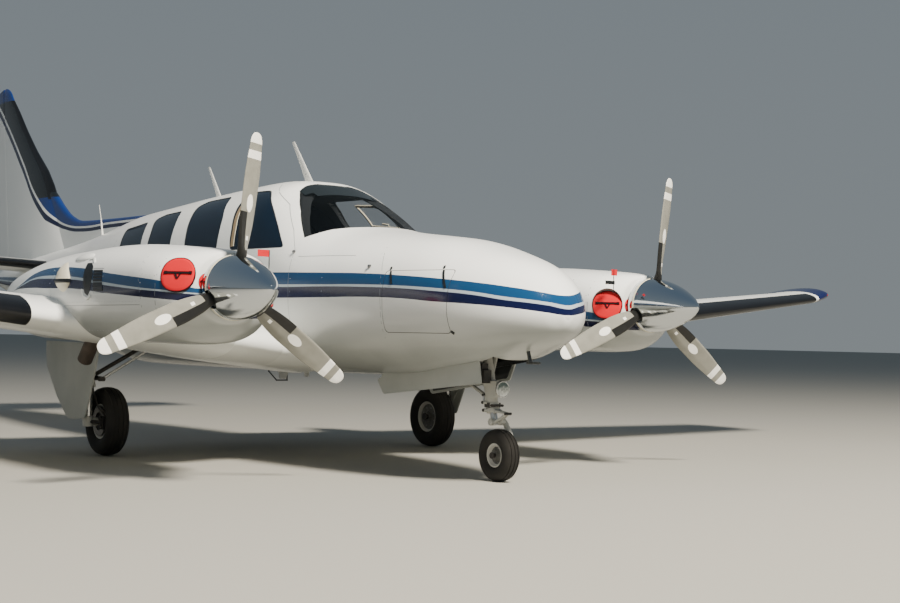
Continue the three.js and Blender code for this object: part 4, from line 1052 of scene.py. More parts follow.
def strap(middle, axis, radius):
    """The black handle strap across a plug, stitched at both ends, with a small loop hanging below."""
    turn = axis.normalized().to_track_quat("Z", "Y")
    shape = Shape()
    for corners, thick in (
        (((-0.7, 0.03), (0.74, 0.03), (0.74, 0.14), (-0.7, 0.14)), 6),
        (((-0.78, 0.0), (-0.62, 0.0), (-0.62, 0.17), (-0.78, 0.17)), 3),
        (((0.64, 0.0), (0.8, 0.0), (0.8, 0.17), (0.64, 0.17)), 3),
        (((-0.2, 0.06), (-0.08, 0.06), (0.04, -0.26), (-0.04, -0.26)), 5),
        (((0.14, 0.06), (0.24, 0.06), (0.05, -0.28), (-0.03, -0.28)), 4),
    ):
        shape.rings([
            [at(*(middle + turn @ Vector((u * radius, v * radius, height)))) for u, v in corners]
            for height in (11, 16 + thick)
        ])
    return shape


strap_web = mottled("strap web", "150e10", "261b1e", 0.85, 160, 2)
strap_web.bump(strap_web.tone, 0.4, 0.001)
for side_name, mirror in SIDES:
    centre = mirror * ENGINE_X
    NACELLE = Body(NACELLE_ROWS, centre)
    solid = NACELLE.length(COWL_FRONT, NACELLE_END, 60, 96)
    nacelle = solid.object(f"nacelle_skin_{side_name}", (nacelle_paint, gap_shade))
    holes = Shape()
    plugs, straps = Shape(), Shape()
    for cheek in (1, -1):
        axis = inlet_axis(cheek)
        place = "outer" if cheek == mirror else "inner"
        middle = Vector((centre + cheek * INLET["x"], INLET["y"], INLET[place]))
        holes.join(tube(middle - axis * 50, middle + axis * 300, INLET["radius"] + 2, around=64))
        front = Vector((centre + cheek * FRONT_INLET["x"], COWL_FRONT, FRONT_INLET[place]))
        start, end = front - Vector((0, 100, 0)), front + Vector((0, 40, 0))
        holes.join(tube(start, end, FRONT_INLET["radius"] + 2, around=48))
        for point, way, radius, thick in (
            (middle, axis, INLET["radius"], 45),
            (front, Vector((cheek * 0.25, -1, 0.1)), FRONT_INLET["radius"], 30),
        ):
            plugs.join(plug(point, way, radius, thick))
            straps.join(strap(point, way, radius))
    carve(nacelle, holes)
    follow_curve(nacelle, NACELLE.normals)
    settle(nacelle, "paint", f"nacelle_{side_name}")
    plugs.piece(
        f"inlet_plugs_{side_name}", (plug_red, plug_edge), "red_cover", f"inlet_plug_{side_name}",
        f"cheek_plug_{side_name}", crease=30
    )
    straps.piece(f"plug_straps_{side_name}", (strap_web,), "cloth", crease=30)
    x = centre + mirror * EXHAUST["x"]
    pipe = tube((x, *EXHAUST["from"]), (x, *EXHAUST["to"]), EXHAUST["radius"], bevel=3)
    bore = tube((x, -456, 787), (x, -350, 680), EXHAUST["radius"] - 5)
    settle(carve(pipe.object(f"exhaust_{side_name}", (sooty_steel,)), bore), "steel")


# Propellers and spinners
# Three swept-tip aluminium blades on each hub, grey with black boots on the inner leading edge and
# two white bands near the tip, round a polished spinner whose thin cream band at its back is a
# painted highlight of the rim's edge.
BLADE = np.array((
    (60, 78, 70, 40),
    (190, 84, 62, 38),
    (270, 122, 34, 33),
    (420, 148, 21, 28),
    (600, 144, 15, 24),
    (700, 134, 12, 21),
    (800, 114, 10, 19),
    (880, 97, 8, 18),
    (925, 74, 6, 17),
    (940, 30, 4, 17),
))
BLADE_START = {"left": 6.2, "right": 5.7}
HUB_Y, HUB_HEIGHT = -2411, 1181
THRUST_DOWN = math.radians(2)
SPINNER = (
    (0, 442), (8, 441), (22, 434), (45, 411), (70, 379), (97, 333), (124, 281), (145, 231), (163, 178),
    (177, 124), (187, 74), (193.5, 14), (194.5, -14), (198, -17), (198, -27), (194.5, -30), (194, -68),
    (190, -72), (60, -72),
)


def blade_place(radius):
    """Chord, thickness, and the ways to the leading edge and off the front face at a radius."""
    chord, thick, turn = (
        float(smooth_column(BLADE[:, 0], BLADE[:, c], np.array([radius]))[0]) for c in (1, 2, 3)
    )
    angle = math.radians(turn)
    lead = Vector((-math.cos(angle), -math.sin(angle), 0))
    return chord, thick, lead, Vector((-lead.y, lead.x, 0))


PLATE = {"radius": 512, "half_length": 54, "half_width": 29}


def blade_plate(proud):
    """The outline of the oval plate on the upright blade's front face, at a height over the face."""
    ring = []
    for c, s in circle(40):
        radius = PLATE["radius"] + PLATE["half_length"] * c
        chord, thick, lead, face = blade_place(radius)
        across = PLATE["half_width"] * s - 0.05 * chord
        ring.append(Vector((0, 0, radius)) + lead * across + face * (thick * 0.5 + proud))
    return ring


def blade_rings():
    """One upright blade, from its shank to its round tip, as rings of points round the hub."""
    rings = []
    radii = [60, 110, 150, 180, 205, 230, 250, 270, 290, 315, 340, 380, 420, 458, 500, 550, 600, 650, 700,
             755, 780, 800, 815, 830, 845, 860, 875, 890, 902, 912, 921, 928, 934, 938, 940]
    for radius in radii:
        chord, thick, lead, face = blade_place(radius)
        if radius > 860:
            round_off = math.sqrt(max(0.0, 1 - ((radius - 860) / 80.5) ** 2))
            chord = 98 * round_off ** 0.8 + 4
            thick = 9 * round_off + 1
        blend = min(1, max(0, (radius - 195) / 75))
        ring = []
        for k in range(36):
            a = math.tau * k / 36
            part = 0.5 - 0.5 * math.cos(a)
            round_up = 0.5 * math.sin(a)
            foil_up = 0
            if k % 18:
                foil_up = math.copysign(min(0.5, 1.9 * math.sqrt(part) * (1 - part) + 0.03), math.sin(a))
            if foil_up < 0:
                foil_up *= 0.35
            up = round_up * (1 - blend) + foil_up * blend
            ring.append(Vector((0, 0, radius)) + lead * chord * (0.45 - part) + face * thick * up)
        rings.append(ring)
    return rings


def blade_paint(radius, part):
    """Which of the blade's finishes shows at a radius and a part of the chord from the leading edge."""
    if radius < 225:
        return 1 if radius > 190 else 3
    if radius < 458 and part < 0.45:
        return 1
    if 290 < radius < 315 and 0.5 < part < 0.66:
        return 2
    if 780 < radius < 830 or radius > 875:
        return 2
    return 0


blade_grey = mottled("blade grey", "74736a", "8e8d83", 0.42, 16, 4)
blade_boot = mottled("blade boot", "151514", "242422", 0.5, 30, 4)
blade_white = mottled("blade white", "e8e7df", "f6f5ef", 0.4, 22, 4)
polished = Look("polished aluminium", "d5dade", 0.09, Metallic=1.0)
polished.uneven(polished.noise(24, 4), 0.09, 0.04)
# A cream band on the step at the spinner's back: a painted highlight of the rim's edge.
spinner_rim_highlight = mottled("spinner rim highlight", "cdc6ab", "dfd9c2", 0.35, 40, 3)
hub_steel = mottled("hub steel", "4c4e4f", "676a6b", 0.4, 30, 4, Metallic=0.9)
for side_name, mirror in SIDES:
    hub = Vector((mirror * ENGINE_X, HUB_Y, HUB_HEIGHT))
    tilt = Matrix.Rotation(THRUST_DOWN, 3, "X")
    blades = Shape()
    shanks = Shape()
    rings = blade_rings()
    for third in range(3):
        turn = tilt @ Matrix.Rotation(math.radians(BLADE_START[side_name] + 120 * third), 3, "Y")
        placed = [[at(*(hub + turn @ p)) for p in ring] for ring in rings]
        paints = []
        for row in range(len(rings) - 1):
            radius = (rings[row][0].z + rings[row + 1][0].z) / 2
            for k in range(36):
                part = 0.5 - 0.5 * math.cos(math.tau * (k + 0.5) / 36)
                paints.append(blade_paint(radius, part))
        blades.rings(placed, paints + [3] * 36 + [2] * 36)
        blades.rings([[at(*(hub + turn @ p)) for p in blade_plate(proud)] for proud in (-1.0, 0.8)], 2)
        start, end = hub + turn @ Vector((0, 0, 20)), hub + turn @ Vector((0, 0, 172))
        shanks.join(tube(start, end, 52, around=40))
    body = f"{side_name}_propeller"
    blades.piece(
        f"blades_{side_name}", (blade_grey, blade_boot, blade_white, hub_steel), "blade",
        f"propeller_{side_name}", body=body
    )
    forward = tilt @ Vector((0, -1, 0))
    shanks.join(
        tube(hub - forward * 60, hub + forward * 95, 84, bevel=4),
        tube(hub - forward * 300, hub - forward * 40, 58, bevel=3),
    )
    shanks.piece(f"hub_{side_name}", (hub_steel,), "steel", body=body)
    rings = []
    for radius, ahead_of in SPINNER:
        rings.append(
            [at(*(hub + tilt @ Vector((radius * c, -ahead_of, radius * s)))) for c, s in circle(96)]
        )

    # Faces in the step at the spinner's back get the cream band, a painted highlight.
    def spinner_paint(middle, hub=hub, forward=forward):
        back = ((middle - at(*hub)) / MM).dot(forward)
        return 1 if -29 < back < -15 else 0

    dome = Shape().rings(rings, spinner_paint).object(
        f"spinner_dome_{side_name}", (polished, spinner_rim_highlight), 50
    )
    cuts = Shape()
    for third in range(3):
        turn = tilt @ Matrix.Rotation(math.radians(BLADE_START[side_name] + 120 * third), 3, "Y")
        cuts.join(tube(hub + turn @ Vector((0, 0, 120)), hub + turn @ Vector((0, 0, 320)), 60, around=48))
    carve(dome, cuts)
    slope_at = np.array([p[1] for p in SPINNER[:-2]][::-1], float)
    radius_at = np.array([p[0] for p in SPINNER[:-2]][::-1], float)

    def dome_normals(points, hub=hub, tilt=tilt):
        local = (points - np.array(at(*hub))) / MM
        local = local @ np.array(tilt)
        ahead_of = -local[:, 1]
        rise = (
            np.interp(ahead_of + 3, slope_at, radius_at) - np.interp(ahead_of - 3, slope_at, radius_at)
        ) / 6
        out = np.hypot(local[:, 0], local[:, 2])
        safe = np.maximum(out, 1e-6)
        normals = np.stack((local[:, 0] / safe, rise, local[:, 2] / safe), axis=1)
        normals /= np.linalg.norm(normals, axis=1, keepdims=True)
        return normals @ np.array(tilt).T

    follow_curve(dome, dome_normals)
    settle(dome, "polished", f"spinner_{side_name}", body=body)


# Tail
# Swept fin on a dorsal strake, rudder, and a straight stabiliser with elevators. Navy and blue run
# up the fin's leading edge behind its boot and over its cap, with a thin navy line along them.
FIN = np.array((
    (1480, 4233, 6090, 6480),
    (2303, 4815, 6225, 6600),
    (2422, 4900, 6250, 6625),
    (2614, 5100, 6284, 6655),
    (2861, 5450, 6326, 6697),
    (3108, 5745, 6372, 6738),
    (3331, 5985, 6410, 6790),
    (3500, 6190, 6440, 6825),
    (3640, 6315, 6470, 6855),
))
FIN_THICKNESS = 0.085
FIN_BLUE = "14306c"
RUDDER_LOW, RUDDER_HIGH, FIN_ROUND = 1650, 3640, 3560
FIN_LINE = ((2400, 1968), (3390, 1972), (4003, 1962), (4431, 1998), (4755, 2092), (5196, 2332),
            (5671, 2745),
            (6450, 3360), (6900, 3640))


def fin_hinge(z):
    lead, hinge, trail = row_at(FIN, z)
    chord = trail - lead
    return Vector((0, hinge, z)), half_thickness((hinge - lead) / chord,
        FIN_THICKNESS) * chord - 2, Vector((0, trail, z))


fin_paint = painted("fin paint")
fin_math = fin_paint.math
y_place, z_place = fin_paint.place()[1:]
line_height = stripe_edges(fin_paint, FIN_LINE, y_place, 1900, 3700)[0]
ahead_part = fin_math("DIVIDE", fin_math("SUBTRACT", AXLE_Y + 4.95, y_place), 0.5)
flat_part = fin_math("MINIMUM", fin_math("MAXIMUM", ahead_part, 0.0), 1.0)
over_line = fin_math(
    "MULTIPLY", fin_math("SUBTRACT", z_place, line_height), fin_math("ADD", flat_part, 1.0)
)
shown = fin_paint.base
for low, high, tint in ((-0.11, -0.04, NAVY), (0.0, 9.0, FIN_BLUE)):
    inside = fin_math(
        "MULTIPLY", fin_math("GREATER_THAN", over_line, low), fin_math("LESS_THAN", over_line, high)
    )
    shown = fin_paint.mix(inside, shown, colour(tint))
high_place = fin_math("GREATER_THAN", z_place, 2.31)
dark_sheet = fin_math("MULTIPLY", fin_math("GREATER_THAN", over_line, 0.0), high_place)
shown = fin_paint.mix(dark_sheet, shown, colour("15191b"))
shown = fin_paint.mix(fin_math("GREATER_THAN", z_place, 3.48), shown, colour(FIN_BLUE))
fin_paint.drive("Base Color", shown)

rings = []
fin_stations = [(1480, False), (1560, False), (RUDDER_LOW - END_GAP, False), (RUDDER_LOW - END_GAP, True)]
fin_stations += [(RUDDER_LOW + (FIN_ROUND - RUDDER_LOW) * k / 24, True) for k in range(25)]
fin_stations += [(FIN_ROUND + up, True) for up in (30, 55, 72, 80)]
for z, short in fin_stations:
    lead, hinge, trail = row_at(FIN, z)
    shrink = math.sqrt(max(0.05, 1 - ((z - FIN_ROUND) / 82) ** 2)) if z > FIN_ROUND else 1
    lead = lead + (1 - shrink) * 120
    chord = trail - lead
    cut = (hinge - lead - fin_hinge(z)[1] - SEAM) / chord if short else 1.0

    def place(along, out, aside, z=z, lead=lead):
        return at(out, lead + along, z)

    rings.append(foil_ring(place, chord, FIN_THICKNESS * shrink, 0, cut))


def fin_paint_at(middle):
    z = middle.z / MM
    lead, hinge, trail = row_at(FIN, z)
    y = (middle.y - AXLE_Y) / MM
    return 1 if 2310 < z < 3475 and (y - lead) / (trail - lead) < BOOT_PART else 0


fin = Shape().rings(rings, fin_paint_at)
DORSAL_BASE = 1640
DORSAL_TOP = np.array(((2100, 1975), (2677, 2000), (3200, 2005), (3700, 2012), (4105, 2024), (4370, 2086),
                       (4648, 2226),
                       (4804, 2330), (5060, 2480)))
rings = []
for k in range(41):
    y = 2100 + (5060 - 2100) * k / 40
    top = float(smooth_column(DORSAL_TOP[:, 0], DORSAL_TOP[:, 1], np.array([float(y)]))[0])
    half = 10 + 32 * k / 40
    ring = []
    for step in range(25):
        a = math.pi * step / 24
        ring.append(at(half * math.cos(a), y, top - half * 1.6 + half * 1.6 * math.sin(a)))
    ring += [at(-half * 1.15, y, DORSAL_BASE), at(half * 1.15, y, DORSAL_BASE)]
    rings.append(ring)
fin.rings(rings)
fin.piece("fin_skin", (fin_paint, boot_rubber), "paint", "vertical_fin")

rudder = control_surface((fin_hinge(RUDDER_LOW), fin_hinge(RUDDER_HIGH - 12)))
rudder.piece("rudder_skin", (fin_paint,), "paint", "rudder", body="rudder", crease=50)

STABILISER = np.array((
    (0, 4260, 5290, 5760, 1560),
    (300, 4350, 5300, 5750, 1572),
    (2480, 4930, 5440, 5730, 1700),
    (2560, 4990, 5450, 5725, 1706),
    (2590, 5090, 5460, 5715, 1710),
))
STABILISER_THICKNESS = 0.09
ELEVATOR = (330, 2440)


def stabiliser_hinge(x):
    lead, hinge, trail, z = row_at(STABILISER, x)
    chord = trail - lead
    radius = half_thickness((hinge - lead) / chord, STABILISER_THICKNESS) * chord - 2
    return Vector((x, hinge, z)), radius, Vector((x, trail, z))


def stabiliser_paint_at(middle):
    x, y = abs(middle.x) / MM, (middle.y - AXLE_Y) / MM
    lead, hinge, trail, z = row_at(STABILISER, x)
    if x > 2470:
        return 2
    return 1 if 130 < x < 2420 and (y - lead) / (trail - lead) < BOOT_PART * 1.3 else 0


for side_name, mirror in SIDES:
    rings = []
    stations = [(60 + (ELEVATOR[1] + END_GAP - 60) * k / 12, True) for k in range(13)]
    stations += [(ELEVATOR[1] + END_GAP, False), (2480, False), (2520, False)]
    stations += [(2520 + 72 * math.sin(math.radians(a)), False) for a in (20, 40, 55, 70, 80, 90)]
    for x, short in stations:
        lead, hinge, trail, z = row_at(STABILISER, x)
        shrink = math.sqrt(max(0.02, 1 - ((x - 2520) / 72.5) ** 2)) if x > 2520 else 1
        if x > 2520:
            lead, trail = 4960 + (1 - shrink) * 260, 5727 - (1 - shrink) * 60
        chord = trail - lead
        cut = (hinge - lead - stabiliser_hinge(x)[1] - SEAM) / chord if short else 1.0

        def place(along, up, aside, x=x, lead=lead, z=z, mirror=mirror):
            return at(mirror * (x + aside), lead + along, z + up)

        rings.append(
            foil_ring(place, chord, STABILISER_THICKNESS * shrink, 0, cut,
                0.064 if not short and x < 2460 else 0)
        )
    surface = Shape().rings(rings, stabiliser_paint_at)
    surface.piece(f"stabiliser_skin_{side_name}", WING_LOOKS, "paint", f"stabiliser_{side_name}")
    elevator = control_surface((stabiliser_hinge(ELEVATOR[0]), stabiliser_hinge(ELEVATOR[1])), mirror)
    elevator.piece(
        f"elevator_skin_{side_name}", (wing_paint,), "paint", f"elevator_{side_name}",
        body=f"{side_name}_elevator", crease=50
    )


# Wheels
# Rubber tyres with grooved treads on cast wheels in light paint, bolted round their hubs. The main
# wheels have a brake disc on the side of their leg.
MAIN_WHEEL = {"radius": 249.5, "half": 85, "rim": 128, "bore": 24, "grooves": (-46, -17, 17, 46)}
NOSE_WHEEL = {"radius": 167.5, "half": 59, "rim": 78, "bore": 16, "grooves": (-27, 0, 27)}
WALL_CURVE = ((0, 0.66), (0.06, 0.74), (0.16, 0.86), (0.28, 0.95), (0.42, 1.0), (0.55, 0.995),
              (0.67, 0.955),
              (0.77, 0.885), (0.85, 0.79))
NOSE_AXLE = (0, -2798, 168)
LEG_X, TRACK_HALF = 1608, 1460


def turned(outline, centre, axis=(1, 0, 0), around=64, paint=None):
    """A ring turned about an axis from a closed outline of places along it and radii."""
    outline = list(outline)
    turn = Vector(axis).normalized().to_track_quat("Z", "Y")
    rings = []
    for c, s in circle(around):
        rings.append([at(*(Vector(centre) + turn @ Vector((r * c, r * s, along)))) for along, r in outline])
    middles = [((p[0] + q[0]) / 2, (p[1] + q[1]) / 2) for p, q in zip(outline, outline[1:] + outline[:1])]
    return Shape().hoop(rings, [paint(*middle) if paint else 0 for middle in middles] * around)


def tyre_outline(radius, half, rim, bore, grooves):
    wall = [(across * half, rim + part * (radius - rim)) for part, across in WALL_CURVE]
    tread = []
    for across in sorted(
        [k * half / 12 for k in range(-8, 9)] + [g + d for g in grooves for d in (-3.2, -2, 2, 3.2)]
    ):
        groove = min((abs(across - g) for g in grooves))
        if 3.2 < groove < 6 or 2 < groove < 3:
            continue
        crown = radius * (1 - 0.045 * (abs(across) / half / 0.7) ** 2.4)
        tread.append((across, crown - (5 if groove <= 2 else 0)))
    return [(-a, r) for a, r in wall] + tread + wall[::-1]


def rim_outline(radius, half, rim, bore, grooves):
    edge = half * 0.66 + 2
    side = [(edge - 4, bore), (edge - 4, bore + 17), (edge - 20, bore + 23), (edge - 26, (bore + rim) / 2),
            (edge - 22, rim - 22), (edge - 8, rim - 14), (edge - 1, rim - 9), (edge, rim - 2),
            (edge - 3, rim - 0.6)]
    return [(-a, r) for a, r in side] + side[::-1]


tyre_rubber = mottled("tyre rubber", "171716", "302e2b", 0.82, 9, 5, grit=(160, 2, 0.3, 0.001))
wheel_paint = mottled("wheel paint", "b3b2ab", "d6d5ce", 0.42, 14, 4)
disc_steel = mottled(
    "brake disc", "5d5c5a", "777674", 0.35, 30, 4, Metallic=0.85, grit=(220, 2, 0.15, 0.0005)
)
bolt_steel = mottled("bolt steel", "7c7e80", "9a9c9e", 0.35, 60, 3, Metallic=0.9)
rim_dark = mottled("wheel hub", "3a3a38", "7d7c77", 0.5, 30, 3)

# One tree sets round heads on points. Inputs: radius and height of a head, and its finish
STUDS = bpy.data.node_groups.new("heads on points", "GeometryNodeTree")
STUD_INPUTS = {}
for label, direction, kind in (
    ("Points", "INPUT", "NodeSocketGeometry"), ("Head radius", "INPUT", "NodeSocketFloat"),
    ("Head height", "INPUT", "NodeSocketFloat"), ("Finish", "INPUT", "NodeSocketMaterial"),
    ("Heads", "OUTPUT", "NodeSocketGeometry"),
):
    socket = STUDS.interface.new_socket(label, in_out=direction, socket_type=kind)
    STUD_INPUTS[label] = socket.identifier
stud_nodes = {}
for label, kind in (
    ("in", "NodeGroupInput"), ("points", "GeometryNodeMeshToPoints"), ("head", "GeometryNodeMeshCone"),
    ("way", "GeometryNodeInputNamedAttribute"), ("turn", "FunctionNodeAlignRotationToVector"),
    ("narrow", "ShaderNodeMath"), ("set", "GeometryNodeInstanceOnPoints"),
    ("real", "GeometryNodeRealizeInstances"),
    ("finish", "GeometryNodeSetMaterial"), ("out", "NodeGroupOutput"),
):
    stud_nodes[label] = STUDS.nodes.new(kind)
stud_nodes["way"].data_type = "FLOAT_VECTOR"
stud_nodes["way"].inputs["Name"].default_value = "stud_normal"
stud_nodes["turn"].axis = "Z"
stud_nodes["narrow"].operation = "MULTIPLY"
stud_nodes["narrow"].inputs[1].default_value = 0.62
stud_nodes["head"].inputs["Vertices"].default_value = 8
for start, start_socket, end, end_socket in (
    ("in", "Points", "points", "Mesh"), ("points", "Points", "set", "Points"),
    ("head", "Mesh", "set", "Instance"),
    ("in", "Head radius", "head", "Radius Bottom"), ("in", "Head radius", "narrow", 0),
    ("narrow", 0, "head", "Radius Top"), ("in", "Head height", "head", "Depth"),
    ("way", "Attribute", "turn", "Vector"), ("turn", "Rotation", "set", "Rotation"),
    ("set", "Instances", "real", "Geometry"), ("real", "Geometry", "finish", "Geometry"),
    ("in", "Finish", "finish", "Material"), ("finish", "Geometry", "out", "Heads"),
):
    STUDS.links.new(stud_nodes[start].outputs[start_socket], stud_nodes[end].inputs[end_socket])


def studs(name, spots, radius, height, look, body, finish):
    """Round heads at points, each along its own normal, as one piece on a body."""
    mesh = bpy.data.meshes.new(name)
    mesh.from_pydata([tuple(p) for p, n in spots], [], [])
    way = mesh.attributes.new("stud_normal", "FLOAT_VECTOR", "POINT")
    way.data.foreach_set("vector", [c for p, n in spots for c in n])
    made = bpy.data.objects.new(name, mesh)
    bpy.context.scene.collection.objects.link(made)
    modifier = made.modifiers.new("heads", "NODES")
    modifier.node_group = STUDS
    modifier[STUD_INPUTS["Head radius"]] = radius * MM
    modifier[STUD_INPUTS["Head height"]] = height * MM
    modifier[STUD_INPUTS["Finish"]] = look.material
    bpy.context.view_layer.update()
    real = bpy.data.meshes.new_from_object(made.evaluated_get(bpy.context.evaluated_depsgraph_get()))
    made.modifiers.remove(modifier)
    made.data = real
    real.polygons.foreach_set("use_smooth", [True] * len(real.polygons))
    real.set_sharp_from_angle(angle=math.radians(35))
    return settle(made, finish, body=body)


for body, node, centre, size, leg_side in (
    ("left_wheel", "main_left", (TRACK_HALF, 0, 250), MAIN_WHEEL, 1),
    ("right_wheel", "main_right", (-TRACK_HALF, 0, 250), MAIN_WHEEL, -1),
    ("nose_wheel", "nose", NOSE_AXLE, NOSE_WHEEL, 0),
):
    tyre = turned(tyre_outline(**size), centre, around=72)
    tyre.piece(f"{node}_tyre_rubber", (tyre_rubber,), "tyre", f"{node}_tyre", body=body, crease=30)
    inner_rim = size["rim"] - 24
    rim = turned(rim_outline(**size), centre, paint=lambda along, radius: int(radius < inner_rim))
    rim.piece(f"{node}_wheel_casting", (wheel_paint, rim_dark), "casting", f"{node}_rim", body=body)
    bolt_radius = (size["bore"] + size["rim"]) / 2 + 2
    face = size["half"] * 0.66 - 24
    spots = []
    for side in (-1, 1):
        for k in range(8):
            a = math.tau * (k + 0.5) / 8
            place = Vector(centre) + Vector(
                (side * (face - 1), bolt_radius * math.cos(a), bolt_radius * math.sin(a))
            )
            spots.append((at(*place), Vector((side, 0, 0))))
    studs(f"{node}_wheel_bolts", spots, 7, 9, bolt_steel, body, "steel")
    if leg_side:
        edge = size["half"] * 0.66
        start, end = (leg_side * (edge + 1), leg_side * (edge + 9))
        disc = turned([(start, 66), (end, 66), (end, 106), (start, 106)], centre, around=64)
        disc.piece(f"{node}_brake_disc", (disc_steel,), "steel", body=body, crease=30)


# Main landing gear
# An oil-filled strut with a bright piston on the outer side of each wheel, torque links behind it, a
# side brace up to the wing, a brake calliper with its hose, and a plain white door bolted outside.
gear_paint = mottled("gear paint", "a5a59e", "cfcfc9", 0.42, 7, 5)
chrome = Look("bright piston", "d2d3d2", 0.3, Metallic=0.7)
chrome.uneven(chrome.noise(60, 2), 0.3)
dark_iron = mottled("dark iron", "1c1b1b", "423f3c", 0.6, 25, 4)
# The gear doors are white, and these mid greys put painted shade into their colour.
shaded_door_white = mottled("gear door white with painted shade", "8f938f", "b9bcb8", 0.4, 3, 5)
LEG_LOOKS = (gear_paint, chrome, dark_iron)
LEG_DOOR = ((-300, 820), (-259, 687), (-167, 463), (-71, 279), (169, 257), (260, 269), (462, 415),
            (675, 634), (700, 760),
            (700, 830))


def mirrored_wings():
    """The wings' solid, used to trim the tops of the legs and doors."""
    shape = Shape()
    for side in (1, -1):
        shape.rings(wing_rings(side))
    return shape


def slab(outline, start, end, corner, bevel=2.0):
    """A plate between two x places with round corners and a bevelled rim."""
    points = [Vector(p) for p in rounded(outline, corner)]
    middle = sum(points, Vector((0, 0))) / len(points)
    way = math.copysign(1, end - start)
    rings = []
    for x, inset in ((start, bevel), (start + way * bevel, 0), (end - way * bevel, 0), (end, bevel)):
        rings.append([at(x, *(p - (p - middle).normalized() * inset)) for p in points])
    return Shape().rings(rings)


def pressed(outline, start, end, corner):
    """A stiffening frame pressed on the inner face of a door."""
    points = [Vector(p) for p in outline]
    middle = sum(points, Vector((0, 0))) / len(points)
    return slab([middle + (p - middle) * 0.8 for p in points], start, end, corner)


def path(points, radius, **settings):
    """Round bars along a line of points."""
    return Shape().join(*(tube(a, b, radius, **settings) for a, b in zip(points, points[1:])))


def bars(*rows):
    """Round bars as one shape: start, end, radius, finish and bevel."""
    return Shape().join(
        *(tube(a, b, radius, paint=paint, bevel=bevel) for a, b, radius, paint, bevel in rows)
    )


for side_name, mirror in SIDES:
    x = mirror * LEG_X
    leg = bars(
        ((x, 0, 520), (x, 0, 1000), 44, 0, 4),
        ((x, 0, 500), (x, 0, 528), 48, 0, 4),
        ((x, 0, 262), (x, 0, 512), 29, 1, 0),
        ((x, 0, 214), (x, 0, 292), 37, 0, 5),
        ((x + mirror * 30, 0, 250), (x - mirror * 70, 0, 250), 33, 0, 4),
        ((x - mirror * 40, 0, 250), (mirror * (TRACK_HALF - 75), 0, 250), 22, 2, 0),
        ((mirror * (TRACK_HALF - 70), 0, 250), (mirror * (TRACK_HALF - 84), 0, 250), 32, 2, 4),
        ((x - 30, 150, 402), (x + 30, 150, 402), 8, 2, 0),
        ((x - 34, 34, 522), (x + 34, 34, 522), 12, 0, 2),
        ((x - 34, 28, 276), (x + 34, 28, 276), 12, 0, 2),
        ((x, -225, 566), (mirror * 1130, -225, 850), 10, 1, 0),
        ((x, -121, 598), (mirror * 1130, -121, 868), 15, 2, 0),
        ((x - 24, -225, 566), (x + 24, -225, 566), 17, 2, 3),
        ((x, -240, 566), (x, -20, 575), 17, 2, 0),
    )
    for across in (-18, 18):
        knee = (x + across * 0.5, 150, 402)
        leg.join(
            tube((x + across * 1.3, 34, 522), knee, 10, 8), tube(knee, (x + across * 1.3, 28, 276), 8, 10)
        )
    for z in (600, 720):
        leg.join(bars(
            ((x, 0, z), (mirror * 1653, 0, z), 11, 0, 2),
            ((mirror * 1646, 0, z), (mirror * 1654, 0, z), 22, 2, 1.5),
        ))
    calliper_x = mirror * (TRACK_HALF + 60)
    leg.join(box((calliper_x - 22, -118, 196), (calliper_x + 22, -62, 292), 2))
    for z in (215, 272):
        leg.join(tube((calliper_x, -90, z), (calliper_x + mirror * 36, -90, z), 17, paint=2, bevel=2))
    leg.join(tube((calliper_x, -70, 244), (x, -20, 250), 14, paint=2))
    hose = [
        (calliper_x, -116, 285), (x - mirror * 30, -104, 360), (x - mirror * 10, -62, 470), (x, -50, 560)
    ]
    leg.join(path(hose, 6, paint=2, around=10))
    leg.piece(f"main_leg_parts_{side_name}", LEG_LOOKS, "paint", f"main_leg_{side_name}")

    plate = slab(LEG_DOOR, mirror * 1656, mirror * 1667, 12)
    outer = plate.object(f"main_door_panel_{side_name}", (shaded_door_white,), 40)
    frame_ring = pressed(LEG_DOOR, mirror * 1651, mirror * 1658, 20)
    carve(outer, mirrored_wings(), join=frame_ring)
    outer.data.set_sharp_from_angle(angle=math.radians(35))
    settle(outer, "paint", f"main_gear_door_{side_name}")


# Nose landing gear
# A raked strut on a wide trunnion, with a drag link back to the wheel well, a landing light on its
# front, a steered bright piston with torque links, and a fork with one arm that holds the wheel.
STEER_LOW = Vector((0, -2757.5, 330))
STEER_RAKE = 0.25


def on_steer(z, forward=0, across=0):
    """A point by height on the steering axis, ahead of it and across."""
    return Vector((across, STEER_LOW.y + STEER_RAKE * (z - STEER_LOW.z) - forward, z))


WELL_REACH = WELL["half"] - 1
TRUNNION, DRAG_LINK = (-2602.5, 950), (-2175, 735)
strut = bars(
    (on_steer(478), on_steer(985), 40, 0, 4),
    (on_steer(470), on_steer(500), 44, 0, 3),
    (on_steer(610), on_steer(640), 44, 0, 3),
    ((-WELL_REACH, *TRUNNION), (WELL_REACH, *TRUNNION), 26, 0, 2),
    (on_steer(515), (0, *DRAG_LINK), 12, 0, 0),
    ((-WELL_REACH, *DRAG_LINK), (WELL_REACH, *DRAG_LINK), 17, 0, 2),
    (on_steer(515, 0, -30), on_steer(515, 0, 30), 19, 2, 2),
    (on_steer(590), on_steer(590, 86), 12, 0, 0),
    (on_steer(600, 0, -20), on_steer(600, 84, -20), 5, 2, 0),
    (on_steer(548, -34, -46), on_steer(548, -34, 46), 9, 2, 1),
    (on_steer(498, -44, -34), on_steer(548, -34, -34), 7, 1, 0),
)
for side in (-1, 1):
    strut.join(bars(
        (on_steer(640, 12), (side * 150, *TRUNNION), 14, 0, 0),
        ((side * 140, *TRUNNION), (side * 162, *TRUNNION), 32, 0, 3),
    ))
for z, forward, across, size in ((668, 40, -62, 30), (715, 30, -66, 26)):
    middle = on_steer(z, forward, across)
    strut.join(box(middle - Vector((size, size, size * 1.4)), middle + Vector((size, size, size * 1.4)), 2))
strut.join(box((-40, -2802, 538), (34, -2712, 642)), box((-44, -2740, 470), (50, -2690, 500), 2))
